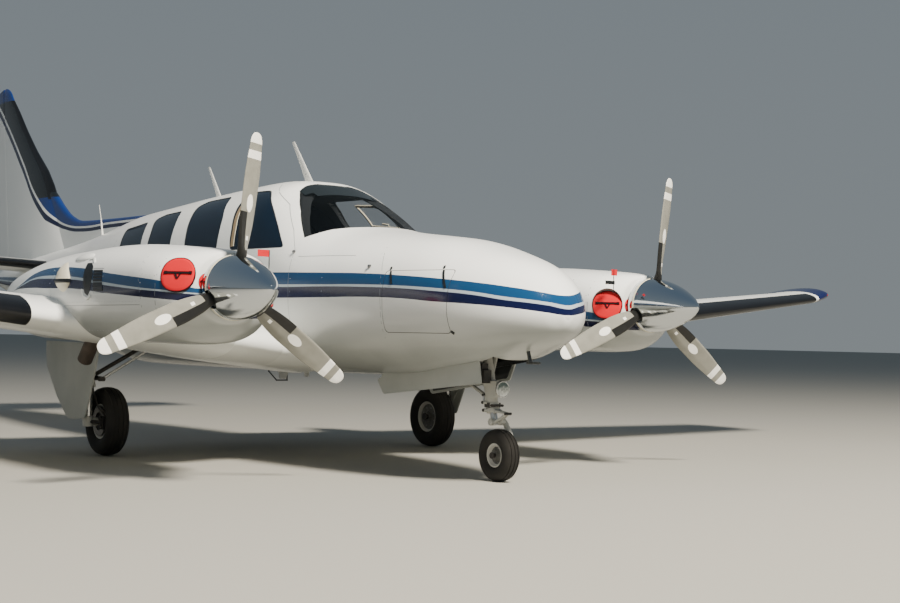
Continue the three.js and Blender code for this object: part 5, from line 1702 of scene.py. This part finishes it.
for across in (-30, -12, 8, 28):
    strut.join(tube(on_steer(484, 74, across), on_steer(484, 20, across), 8, paint=2, bevel=1))
for height, forward in ((500, -42), (451, -44)):
    strut.join(bars(
        (on_steer(height, forward, -52), on_steer(height, forward, 52), 10, 2, 1),
        (on_steer(height, forward, -34), on_steer(height, 0, -34), 13, 0, 1),
    ))
strut.piece("nose_strut_parts", LEG_LOOKS, "paint", "nose_gear_strut")

lamp_steel = Look("lamp shell", "c9cbc9", 0.3, Metallic=0.6)
lamp_steel.uneven(lamp_steel.noise(20, 3), 0.5)
lamp_glass = Look("lamp lens", "e3e8e8", 0.06, Coat_Weight=0.6)
# Painted reflection: the lens is pale low down and darker higher up, broken by noise patches.
lens_height = lamp_glass.place()[2]
lens_painted_reflection = lamp_glass.math("MULTIPLY", lamp_glass.math("SUBTRACT", lens_height, 0.545), 14.0)
lens_patch = lamp_glass.math("SUBTRACT", lamp_glass.math("MULTIPLY", lamp_glass.noise(70, 2), 1.2), 0.6)
lens_reflection_tone = lamp_glass.math("ADD", lens_painted_reflection, lens_patch)
lamp_glass.drive("Base Color", lamp_glass.mix(lens_reflection_tone, colour("f2f4f2"), colour("5f6d68")))
lamp_glass.bump(lamp_glass.noise(140, 1), 0.35, 0.001)
LAMP = (
    (0, 2), (0, 17), (10, 30), (24, 43), (36, 50), (41, 53.5), (49, 53.5), (51, 50), (50, 46), (52, 40),
    (54.5, 24), (55.5, 2)
)
lamp_middle = on_steer(590, 84.6)
lamp = turned(LAMP, lamp_middle, (0, -1, 0), 48, lambda along, radius: int(along > 49.5 and radius < 47))
lamp.piece("landing_lamp", (lamp_steel, lamp_glass), "glass", "landing_light")

fork = bars(
    (on_steer(438), on_steer(466.5), 45, 0, 5),
    (on_steer(356), on_steer(448), 23, 1, 0),
    (on_steer(378, 0, -42), on_steer(378, 0, 84), 23, 0, 4),
    ((82, -2826, 272), (82, -2798, 166), 17, 0, 2),
    ((64, -2798, 168), (100, -2798, 168), 26, 0, 4),
    ((-62, -2798, 168), (90, -2798, 168), 14, 2, 0),
    ((-56, -2798, 168), (-65, -2798, 168), 21, 2, 3),
    (on_steer(436, 150, -26), on_steer(436, 150, 26), 9, 2, 1),
    (on_steer(450, 40, -30), on_steer(450, 40, 30), 13, 0, 2),
    (on_steer(374, 16, -26), on_steer(374, 16, 26), 13, 0, 2),
)
fork.join(tube(on_steer(378, 0, 82), (82, -2828, 268), 18, 17, bevel=2))
for across in (-16, 16):
    knee = on_steer(436, 150, across * 0.7)
    fork.join(tube(on_steer(450, 38, across), knee, 9, 7), tube(knee, on_steer(374, 15, across), 7, 9))
fork.piece("nose_fork_parts", LEG_LOOKS, "paint", "nose_gear_fork", body="nose_fork")

NOSE_DOORS = {
    "left": ((-2728, 810), (-2640, 640), (-1755, 517), (-1674, 615), (-1735, 636), (-1735, 740)),
    "right": ((-2828, 830), (-2866, 628), (-1755, 517), (-1674, 615), (-1735, 636), (-1735, 740)),
}
door_inside = mottled("door inner face", "26292b", "3d4144", 0.6, 8, 4)
for side_name, mirror in SIDES:
    outline = NOSE_DOORS[side_name]
    plate = slab(outline, mirror * 198, mirror * 207, 20)
    outer = plate.object(f"nose_door_panel_{side_name}", (shaded_door_white,), 40)
    carve(outer, FUSELAGE.length(NOSE_TIP, NOSE_END + 900, 60, AROUND, -1))
    front_top, front_low = Vector(outline[0]) + Vector((24, 0)), Vector(outline[1]) + Vector((26, 14))
    lining_plate = slab([front_top, front_low, (-1775, 537), (-1775, 720)], mirror * 194, mirror * 201, 16)
    inner = lining_plate.object(f"nose_door_lining_{side_name}", (door_inside,), 40)
    carve(inner, FUSELAGE.length(NOSE_TIP, NOSE_END + 900, 60, AROUND, -2))
    outer.data.set_sharp_from_angle(angle=math.radians(35))
    settle(outer, "paint", f"nose_gear_door_{side_name}")
    settle(inner, "panel")


# Cabin floor and instrument panel
# The floor is plywood under a short looped carpet. The panel is a painted sheet with round
# instruments under a dark padded shroud, and two yokes come out of it on steel shafts.
carpet = mottled("cabin carpet", "2e2d2a", "4c4a44", 0.95, 400, 2)
carpet.bump(carpet.tone, 0.5, 0.002)


def refinish(node_name, look):
    """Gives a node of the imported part, which keeps its shape, its finish."""
    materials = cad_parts[node_name].data.materials
    materials.clear()
    materials.append(look.material)


refinish("cabin_floor", carpet)

PANEL = {
    "face": -1612, "back": -1650, "low": 1050, "shroud_front": -1900, "shroud_back": -1560, "shroud": 1570
}
panel_grey = mottled("panel grey", "424547", "55585a", 0.55, 25, 3)
dial_black = Look("dial black", "101112", 0.25)
dial_black.uneven(dial_black.noise(120, 2), 0.2, 0.15)
room = cabin_length(WALL + 8, 40)
sheet = box((-640, PANEL["back"], PANEL["low"]), (640, PANEL["face"], 1640))
settle(carve(sheet.object("panel_sheet", (panel_grey,)), keep=room), "panel", "instrument_panel")
shroud = box(
    (-640, PANEL["shroud_front"], PANEL["shroud"]), (640, PANEL["shroud_back"], PANEL["shroud"] + 22)
)
settle(carve(shroud.object("panel_shroud", (dial_black,)), keep=room), "panel")

# Instruments: x, z, radius
dials = Shape()
dial_places = [(x, z, 40) for z in (1500, 1405) for x in (-430, -335, -240, 240, 335, 430)]
dial_places += [(x, 1505, 28) for x in (-100, -35, 35, 100)] + [(x, 1440, 28) for x in (-100, 100)]
for x, z, radius in dial_places:
    ring = [(-4, radius - 6), (9, radius - 6), (11, radius - 3), (9, radius), (-4, radius)]
    dials.join(turned(ring, (x, PANEL["face"], z), (0, 1, 0), 28))
    dials.join(tube((x, PANEL["face"] - 4, z), (x, PANEL["face"] + 3, z), radius - 6, None, 28))
for x, z in ((-60, 1330), (60, 1330), (-60, 1260), (60, 1260)):
    dials.join(box((x - 55, PANEL["face"] - 3, z - 27), (x + 55, PANEL["face"] + 7, z + 27)))
dials.piece("panel_instruments", (dial_black,), "panel", crease=30)

yokes = Shape()
for x in (-300, 300):
    yokes.join(tube((x, PANEL["face"] - 5, 1300), (x, -1430, 1300), 13, None, 20, 1))
    grip = ((-135, 1352), (-140, 1300), (-110, 1262), (0, 1300), (110, 1262), (140, 1300), (135, 1352))
    yokes.join(path([(x + across, -1430, z) for across, z in grip], 13, around=16))
    yokes.join(tube((x, -1448, 1300), (x, -1410, 1300), 34, 30, 24, bevel=3))
yokes.piece("control_yokes", (dial_black, chrome), "panel")


# Seats
# Six single seats of foam under stitched leather, on painted steel frames bolted to the floor.
# Each cushion is crowned, drawn in between its corners, sewn in channels and edged with piping.
seat_leather = mottled("seat leather", "4d453a", "6c6254", 0.6, 7, 4)
grain = seat_leather.noise(520, 3)
seat_leather.uneven(grain, 0.25, 0.45)
seat_leather.bump(grain, 0.35, 0.0008)
piping_leather = mottled("seat piping", "26211d", "38322c", 0.55, 30, 3, grit=(420, 2, 0.3, 0.0006))
seat_frame = mottled("seat frame paint", "26282a", "3a3c3e", 0.5, 40, 3)

SEAT_ROWS = (
    ("front", -1010, 1, 300),
    ("middle", 300, -1, 300),
    ("rear", 1050, 1, 265),
)
PULL, PIPING = 0.035, 5
CUSHION_STEPS = 26


def cushion(middle, across, along, thick, channels):
    """A crowned cushion about its middle, from three half extents given as vectors. Its sides pull
    in between the corners, the wide faces have sewn channels, and piping runs round the edge."""
    made = Shape()
    steps = CUSHION_STEPS
    places = [math.sin(math.pi / 2 * (-1 + 2 * i / steps)) for i in range(steps + 1)]

    def spot(u, v, side):
        drawn_u, drawn_v = u * (1 - PULL * (1 - v * v)), v * (1 - PULL * (1 - u * u))
        edge = (max(0, 1 - abs(u) ** 7) * max(0, 1 - abs(v) ** 7)) ** 0.38
        crown = 0.72 + 0.28 * (1 - u * u) * (1 - v * v)
        rib = 1 - 0.1 * sum(math.exp(-((u - channel) / 0.035) ** 2) for channel in channels)
        return middle + across * drawn_u + along * drawn_v + thick * side * edge * crown * rib

    for side in (-1, 1):
        points = [at(*spot(u, v, side)) for v in places for u in places]
        faces = []
        for j in range(steps):
            for i in range(steps):
                a = j * (steps + 1) + i
                faces.append((a, a + 1, a + steps + 2, a + steps + 1))
        made.add(points, faces)
    border = [(-1 + 2 * k / 16, -1) for k in range(16)] + [(1, -1 + 2 * k / 16) for k in range(16)]
    border += [(1 - 2 * k / 16, 1) for k in range(16)] + [(-1, 1 - 2 * k / 16) for k in range(16)]
    wide = across.length, along.length
    shrunk = [(u * (1 - PIPING / wide[0]), v * (1 - PIPING / wide[1])) for u, v in border]
    line = [spot(u, v, 0) for u, v in shrunk]
    up = thick.normalized()
    rings = []
    for k, here in enumerate(line):
        way = (line[(k + 1) % len(line)] - line[k - 1]).normalized()
        out = way.cross(up)
        sides = [out * math.cos(a) + up * math.sin(a) for a in (0.4, 1.97, 3.54, 5.11)]
        rings.append([at(*(here + side * PIPING)) for side in sides])
    return made.hoop(rings, 1)


for row_name, row_y, facing, centre in SEAT_ROWS:
    for side_name, side in SIDES:
        x = side * centre
        seat_y, back_y = (row_y + 180, row_y + 415) if facing > 0 else (row_y + 291, row_y + 55)
        for part_name, middle, across, along, thick, fill in (
            ("cushion", (x, seat_y, 1069), (222, 0, 0), (0, 176, 0), (0, 0, 54), 0.7),
            ("back", (x, back_y, 1322), (220, 0, 0), (0, 0, 242), (0, 51, 0), 0.6),
            ("headrest", (x, back_y, 1628), (118, 0, 0), (0, 0, 58), (0, 42, 0), 0.7),
        ):
            channels = () if part_name == "headrest" else (-0.5, 0, 0.5)
            made = cushion(*(Vector(v) for v in (middle, across, along, thick)), channels)
            piece = made.object(
                f"seat_{row_name}_{side_name}_{part_name}", (seat_leather, piping_leather), 60
            )
            settle(piece, "cloth", f"seats_{row_name}")
    mounts = Shape()
    for side in (-1, 1):
        x = side * centre
        for rail_x in (x - 150, x + 150):
            mounts.join(tube((rail_x, row_y + 85, 872), (rail_x, row_y + 385, 872), 11, None, 12))
            for leg_y in (row_y + 110, row_y + 360):
                mounts.join(tube((rail_x, leg_y, 862), (x + (rail_x - x) * 0.8, leg_y, 1000), 12, None, 12))
        mounts.join(box((x - 150, row_y + 80, 996), (x + 150, row_y + 390, 1010)))
        back = row_y + 415 if facing > 0 else row_y + 55
        for post_x in (x - 70, x + 70):
            mounts.join(tube((post_x, back, 1000), (post_x, back, 1120), 9, None, 12))
            rest_x = (post_x + x) / 2
            mounts.join(tube((rest_x, back, 1540), (rest_x, back, 1600), 6, None, 12))
        front = row_y + 235
        mounts.join(box((x - 75, min(back, front) - 10, 998), (x + 75, max(back, front) + 10, 1008)))
    mounts.piece(f"seat_{row_name}_frames", (seat_frame,), "steel", f"seats_{row_name}")


# Window surrounds and cabin fittings near the glass
# A thin rubber seal runs round each pane. The first window has a tan inner edge at its back, and
# the pilot's side window holds a cream storm window frame with its latch.
seal_rubber = mottled("window seal", "232526", "3a3d3e", 0.6, 50, 3)
tan_trim = mottled("tan trim", "7d6b52", "a08d70", 0.7, 35, 4)
cream_trim = mottled("cream trim", "c6bea6", "e2dcc8", 0.5, 30, 3)


def strip(surface, line, side, width, proud, sunk=2.0, closed=True, paint=0):
    """A flat strip that follows a line of y and z over a body's skin."""
    flat = [Vector(p) for p in line]
    count = len(flat)
    rings = []
    for k, here in enumerate(flat):
        before = flat[k - 1] if closed or k else here
        after = flat[(k + 1) % count] if closed or k < count - 1 else here
        way = (after - before).normalized()
        across = Vector((-way.y, way.x)) * width / 2
        low, high = here - across, here + across
        rings.append([
            surface.skin(low.x, low.y, side, -sunk)[0], surface.skin(low.x, low.y, side, proud)[0],
            surface.skin(high.x, high.y, side, proud)[0], surface.skin(high.x, high.y, side, -sunk)[0],
        ])
    return Shape().hoop(rings, paint) if closed else Shape().rings(rings, paint)


def finer(line, step=40, closed=False):
    """The same line with points no further apart than a step."""
    flat = [Vector(p) for p in line] + ([Vector(line[0])] if closed else [])
    made = []
    for start, end in zip(flat, flat[1:]):
        parts = max(1, math.ceil((end - start).length / step))
        made += [start.lerp(end, k / parts) for k in range(parts)]
    return made if closed else made + [flat[-1]]


for side_name, side in SIDES:
    seals = Shape()
    for outline in WINDOWS[side_name]:
        seals.join(strip(FUSELAGE, finer(window_outline(outline, -3), 60, True), side, 7, -1.5, 5))
    seals.piece(f"window_seals_{side_name}", (seal_rubber,), "panel")
seals = strip(FUSELAGE, finer(window_outline(DOOR_WINDOW, -3), 60, True), 1, 7, -1.5, 5)
seals.piece("door_window_seal", (seal_rubber,), "panel", body="cabin_door")

reveal = Shape()
for line, width, proud, paint in (
    (((-262, 1960), (-272, 1868), (-292, 1800), (-340, 1688), (-368, 1560)), 42, -1.2, 0),
    (((-286, 1960), (-296, 1872), (-316, 1806), (-364, 1692), (-392, 1562)), 7, -0.8, 1),
):
    reveal.join(strip(FUSELAGE, finer(line, 30), -1, width, proud, 2.8, False, paint))
reveal.piece("first_window_reveal", (tan_trim, cream_trim), "panel")

storm = strip(
    FUSELAGE,
    finer(((-300, 1956), (-365, 1795), (-786, 1755), (-726, 1843), (-643, 1917), (-550, 1940)), 40, True),
    1, 15, -14, 24,
)
storm.join(strip(FUSELAGE, finer(((-516, 1806), (-601, 1794), (-583, 1757)), 30), 1, 9, -12, 20, False))
storm.piece("storm_window_frame", (cream_trim,), "panel")


# Seams and fasteners
# The skins are lapped sheets held by flush rivets and screws. Each seam is a shallow dark line, and
# the rows of heads beside the seams stand just proud of the paint.
seam_dark = mottled("seam line", "4c5256", "7d8488", 0.6, 20, 3)
head_paint = mottled("painted heads", "8d9290", "c9ccc9", 0.35, 60, 2)


def spaced(line, gap):
    """Points along a line of y and z, one gap apart."""
    flat = [Vector(p) for p in line]
    made, carried = [], 0.0
    for start, end in zip(flat, flat[1:]):
        length = (end - start).length
        while carried <= length:
            made.append(start.lerp(end, carried / length))
            carried += gap
        carried -= length
    return made


def heads(surface, lines, side, gap, proud=-0.6):
    return [surface.skin(p.x, p.y, side, proud) for line in lines for p in spaced(line, gap)]


# Lines of y and z on both sides, but the seam behind the second window is on the right side only
RIGHT_SEAM = 690
BODY_SEAMS = (
    ((-442, 2064), (-846, 1861), (-1084, 1658), (-1220, 1504), (-1226, 1380)),
    ((-1286, 1458), (-1598, 1456), (-1904, 1449)),
    ((-2130, 1500), (-2170, 1456), (-2210, 1403), (-2242, 1344), (-2262, 1250), (-2272, 1100),
     (-2262, 900)),
    ((-1226, 1380), (-1234, 1200), (-1236, 1000), (-1236, 820)),
    ((RIGHT_SEAM, 800), (RIGHT_SEAM, 1000), (RIGHT_SEAM, 1500)),
    ((2000, 800), (2020, 1200), (2050, 1500), (2080, 1760)),
)
RIVET_LINES = (
    ((-2148, 1456), (-2188, 1403), (-2222, 1340)),
    ((-1250, 1440), (-1256, 1200), (-1256, 840)),
    ((-1620, 1440), (-1640, 1200), (-1640, 840)),
    ((-2290, 890), (-2900, 890)),
    ((-1240, 1000), (-1640, 1000)),
    ((-1220, 1474), (-700, 1474), (-100, 1474)),
    ((-450, 2040), (-830, 1850)),
)
seams = Shape()
spots = []
for side in (-1, 1):
    for line in BODY_SEAMS:
        if side > 0 and line[0][0] == RIGHT_SEAM:
            continue
        seams.join(strip(FUSELAGE, finer(line, 60), side, 2.6, 0.35, 2, False))
    spots += heads(FUSELAGE, RIVET_LINES, side, 46)
seams.piece("body_seams", (seam_dark,), "panel")
studs("body_rivets", spots, 2.6, 2.2, head_paint, "airframe", "panel")

# Details of each nacelle by its outer side: seams and rows of screws
NACELLE_SEAMS = (
    ((-1958, 1070), (-1260, 1070), (-629, 1070)),
    ((-1908, 1400), (-1908, 1333), (-1975, 1111), (-1980, 900)),
    ((-1225, 1310), (-1401, 1305), (-1470, 1147), (-1298, 1149), (-1225, 1310)),
    ((-560, 1420), (-545, 1250), (-560, 1075), (-585, 900)),
    ((-2110, 1400), (-2125, 1250), (-2120, 1080), (-2105, 900)),
)
NACELLE_SCREWS = (
    ((-1958, 1090), (-640, 1090)), ((-1930, 1330), (-1993, 1115)), ((-1975, 1257), (-2143, 1242)),
    ((-1262, 1340), (-1390, 1338)), ((-1860, 905), (-620, 915)), ((-530, 1400), (-518, 1250), (-532, 1100)),
)
LOUVRES = ((-1254, 1299), (-1392, 1296), (-1448, 1158), (-1306, 1160))
OUTLET = (
    (-1083, 1347), (-1108, 1269), (-1132, 1200), (-1160, 1150), (-1205, 1133), (-1240, 1160),
    (-1256, 1210), (-1253, 1266), (-1210, 1322), (-1150, 1348),
)
# The scoop from its top to its low tip: z, y, half width, lift from the skin
SCOOP = (
    (1372, -665, 10, 4), (1355, -668, 48, 14), (1330, -690, 80, 24), (1300, -718, 104, 32),
    (1270, -745, 120, 38), (1250, -760, 126, 42), (1244, -762, 131, 45), (1228, -765, 130, 44),
    (1222, -767, 120, 38), (1205, -772, 108, 32), (1185, -778, 80, 22), (1168, -782, 44, 12),
    (1160, -784, 8, 3),
)
SCOOP_RING = (1225, 1247)
dark_metal = mottled("dark metal", "161819", "2e3132", 0.45, 35, 3, Metallic=0.4)
for side_name, side in SIDES:
    cowl = Body(NACELLE_ROWS, side * ENGINE_X)
    made = Shape()
    for line in NACELLE_SEAMS:
        made.join(strip(cowl, finer(line, 60), side, 3, 0.35, 2, False))
        made.join(strip(cowl, finer(line, 60), -side, 3, 0.35, 2, False))
    made.piece(f"nacelle_seams_{side_name}", (seam_dark,), "panel")
    spots = heads(cowl, NACELLE_SCREWS, side, 44) + heads(cowl, NACELLE_SCREWS, -side, 44)
    studs(f"nacelle_screws_{side_name}", spots, 3.2, 2.4, head_paint, "airframe", "panel")
    outlet_line = finer(OUTLET, 22, True)
    middle = sum(outlet_line, Vector((0, 0))) / len(outlet_line)
    rings = []
    for scale, proud in (
        (0.02, 1.6), (0.3, 1.6), (0.6, 1.6), (0.85, 1.6), (1.0, 1.6), (1.02, -2), (0.6, -4), (0.02, -5)
    ):
        rings.append([cowl.skin(*(middle + (p - middle) * scale), side, proud)[0] for p in outlet_line])
    Shape().rings(rings).piece(f"cowl_outlet_{side_name}", (dark_metal,), "panel")
    crescent = strip(
        cowl, finer(((-1112, 1172), (-1150, 1128), (-1205, 1112), (-1256, 1134)), 14), side, 16, 7, 2, False
    )
    crescent.join(strip(cowl, ((-1075, 1372), (-1130, 1378), (-1190, 1352)), side, 8, 6, 2, False))
    crescent.piece(f"outlet_lip_{side_name}", (wing_paint,), "paint")
    slats = Shape()
    for k in range(7):
        part = (k + 0.5) / 7
        fore = Vector(LOUVRES[0]).lerp(Vector(LOUVRES[3]), part)
        aft = Vector(LOUVRES[1]).lerp(Vector(LOUVRES[2]), part)
        slats.join(strip(cowl, finer((fore, aft), 30), side, 15, 3, 2, False))
    slats.piece(f"cowl_louvres_{side_name}", (dark_metal,), "paint")

    # The scoop is a cream pod with a dark ring round its mouth
    rings = []
    for z, y, half, lift in SCOOP:
        ring = []
        for c, s in circle(24):
            foot = cowl.skin(y + half * s, z, side, 0)[0]
            ring.append(foot + Vector((side, 0, 0)) * (max(0.0, c) * lift - 6) * MM)
        rings.append(ring)
    pod = Shape().rings(rings, lambda middle: int(SCOOP_RING[0] < middle.z / MM < SCOOP_RING[1]))
    pod.piece(f"scoop_{side_name}", (cream_trim, dark_metal), "paint", crease=50)

    # Rounded blister over the oil door on the upper cowl
    rings = []
    for y, reach, lift in (
        (-1075, 3, 0.5), (-1050, 16, 7), (-1000, 26, 13), (-930, 31, 16), (-850, 28, 14), (-795, 17, 8),
        (-765, 3, 0.5),
    ):
        rings.append([cowl.skin(y, 1392 + reach * s, side, max(-3.0, lift * c))[0] for c, s in circle(16)])
    Shape().rings(rings).piece(f"cowl_blister_{side_name}", (wing_paint,), "paint", crease=50)


# Aerials, air-speed probe and belly fittings
# White plastic blade aerials on the roof and belly, a wire aerial on the tail, a towel-bar wire
# under the belly and the probe on its mast below the nose.
aerial_white = mottled("aerial paint", "d8d8d1", "efefea", 0.35, 16, 3)
AERIALS = (
    (-425, 2070, 120, -105, 2432, 42),
    (1065, 2020, 100, 1335, 2345, 36),
    (-420, 650, 90, -400, 592, 60),
    (-120, 650, 210, -60, 566, 110),
)
aerials = Shape()
for root_y, root_z, root_chord, tip_y, tip_z, tip_chord in AERIALS:
    rings = []
    for k in range(7):
        part = k / 6
        chord = root_chord + (tip_chord - root_chord) * part ** 0.8
        y = root_y + (tip_y - root_y) * part
        z = root_z + (tip_z - root_z) * part
        half = 8 - 4.5 * part
        rings.append([at(half * s, y + chord / 2 - chord / 2 * c, z) for c, s in circle(20)])
    aerials.rings(rings)
aerials.piece("blade_aerials", (aerial_white,), "panel", crease=50)

probe = Shape().join(
    tube((-50, -3120, 880), (-50, -3160, 766), 12, None, 20),
    tube((-50, -3125, 766), (-50, -3255, 766), 8.5, 6.5, 20, bevel=2),
)
probe.piece("air_probe", (hub_steel,), "steel")

WIRE = ((45, 299, 650), (45, 299, 616), (45, 170, 548), (45, 4, 554), (45, 4, 640))
wire = path(WIRE, 5, around=12)
for spot in WIRE[1:-1]:
    wire.join(tube((spot[0] - 4, spot[1], spot[2]), (spot[0] + 4, spot[1], spot[2]), 6, None, 12))
wire.piece("belly_wire", (dark_metal,), "steel")
whip = tube((-195, 3140, 1800), (-198, 3183, 1985), 12, 5, 16)
whip.join(tube((-198, 3183, 1980), (-200, 3232, 2117), 3.5, 2.5, 12))
whip.piece("tail_whip", (aerial_white,), "panel")


# Flags, straps, knobs and lights
# Red warning flags stand on thin rods at the plugs. The baggage door has straps and a catch. Lamps
# sit at the wing tips and on the tail, and the beacon stands on the rudder's cap.
flag_red = mottled("flag cloth", "a8121b", "d42a33", 0.75, 260, 2)
flag_red.bump(flag_red.tone, 0.4, 0.0006)

# Flags: x and y of the rod, its foot and top, and the x places and height of the cloth
for side_name, x, y, foot, top, near, far, height in (
    ("right", -1376, -2205, 1310, 1431, -1376, -1460, 42),
    ("left", 1360, -2350, 1261, 1430, 1392, 1333, 44),
):
    rod = tube((x, y, foot), (x, y, top), 3, None, 12)
    rod.piece(f"flag_rod_{side_name}", (dark_metal,), "steel")
    rings = []
    for k in range(13):
        part = k / 12
        wave = 5 * math.sin(part * 5.2) * part
        across = near + (far - near) * part
        ring = [at(across, y + wave - 1.2, z) for z in (top - height, top)]
        ring += [at(across, y + wave + 1.2, z) for z in (top, top - height)]
        rings.append(ring)
    Shape().rings(rings).piece(f"flag_{side_name}", (flag_red,), "cloth", crease=60)
box((1282, -2354, 1322), (1369, -2349, 1348)).piece("plug_vane", (dark_metal,), "panel")

# Straps of the baggage door, along y and z: two leaves that open with it, their feet, and the catch
for name, body, lines in (
    ("door_straps", "baggage_door", (
        (((-2336, 1332), (-2350, 1300), (-2370, 1250)), 11),
        (((-2775, 1332), (-2800, 1288), (-2839, 1221)), 11),
    )),
    ("door_strap_feet", "airframe", (
        (((-2325, 1360), (-2331, 1344)), 11),
        (((-2759, 1361), (-2768, 1344)), 11),
        (((-2866, 952), (-2882, 938)), 16),
    )),
):
    trims = Shape()
    for line, width in lines:
        trims.join(strip(FUSELAGE, finer(line, 20), -1, width, 5, 2, False))
    trims.piece(name, (dark_metal,), "steel", body=body)
knobs = [FUSELAGE.skin(y, z, side, 3) for y, z in ((-1221, 1491), (-2110, 1368)) for side in (-1, 1)]
studs("side_knobs", knobs, 15, 12, bolt_steel, "airframe", "steel")


def wing_place(x, part):
    """The y and z of a place on the wing's middle line."""
    lead, trail, rise, thickness, camber = wing_row(x)
    chord = trail - lead
    line = camber * 4 * part * (1 - part) * chord
    return lead + chord * part, WING_ROOT_HEIGHT + DIHEDRAL * x + rise + line


lamp_red = mottled("red lens", "7a0c12", "a81a20", 0.12, 90, 2, Coat_Weight=0.5)
lamp_green = mottled("green lens", "0c5a32", "187a48", 0.12, 90, 2, Coat_Weight=0.5)
# The beacon's foot and lens on the rudder's cap: height, half width and half length of each ring
BEACON_Y = 6725
FOOT = ((3560, 8, 40), (3590, 9, 62), (3628, 13, 58), (3645, 19, 44), (3660, 25, 31), (3674, 27, 27))
LENS = ((3674, 23, 23), (3700, 24, 24), (3722, 23, 23), (3738, 19, 19), (3749, 12, 12), (3756, 3, 3))
for name, table, look, slot in (
    ("beacon_foot", FOOT, fin_paint, "paint"),
    ("beacon_lens", LENS, lamp_red, "glass"),
):
    rings = [[at(half * c, BEACON_Y + length * s, z) for c, s in circle(32)] for z, half, length in table]
    Shape().rings(rings).piece(name, (look,), slot, body="rudder")
for name, mirror, look in (("left", 1, lamp_red), ("right", -1, lamp_green)):
    y, z = wing_place(5900, 0.04)
    lamp = tube((mirror * 5905, y + 40, z), (mirror * 5905, y - 38, z), 17, 9, 20, bevel=3)
    lamp.piece(f"tip_lamp_{name}", (look,), "glass")
tail_lamp = tube((0, 6520, 1655), (0, 6558, 1655), 22, 12, 24, bevel=3)
# Its lens carries the landing lamp's painted reflection, which at this height is all the dark tone.
tail_lamp.piece("tail_lamp", (lamp_glass,), "glass")

# Static wicks trail from the outer ends of the ailerons
for name, mirror in SIDES:
    wicks = Shape()
    for x in (5000, 5300, 5600):
        y, z = wing_place(x, 1)
        wicks.join(tube((mirror * x, y - 6, z), (mirror * x, y + 90, z - 8), 2.4, 1.4, 8))
    wicks.piece(f"static_wicks_{name}", (dark_metal,), "steel", body=f"{name}_aileron")


# Engines
# Cast aluminium crankcases and ribbed cylinders under the cowls, dull grey with an oily film. They
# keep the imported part's shape.
engine_cast = mottled("engine casting", "4a4b49", "8a8c89", 0.5, 12, 4, Metallic=0.6)
engine_cast.uneven(engine_cast.tone, 0.3, 0.35)
engine_cast.bump(engine_cast.noise(180, 2), 0.3, 0.0008)
for node_name in ("engine_left", "engine_right"):
    refinish(node_name, engine_cast)
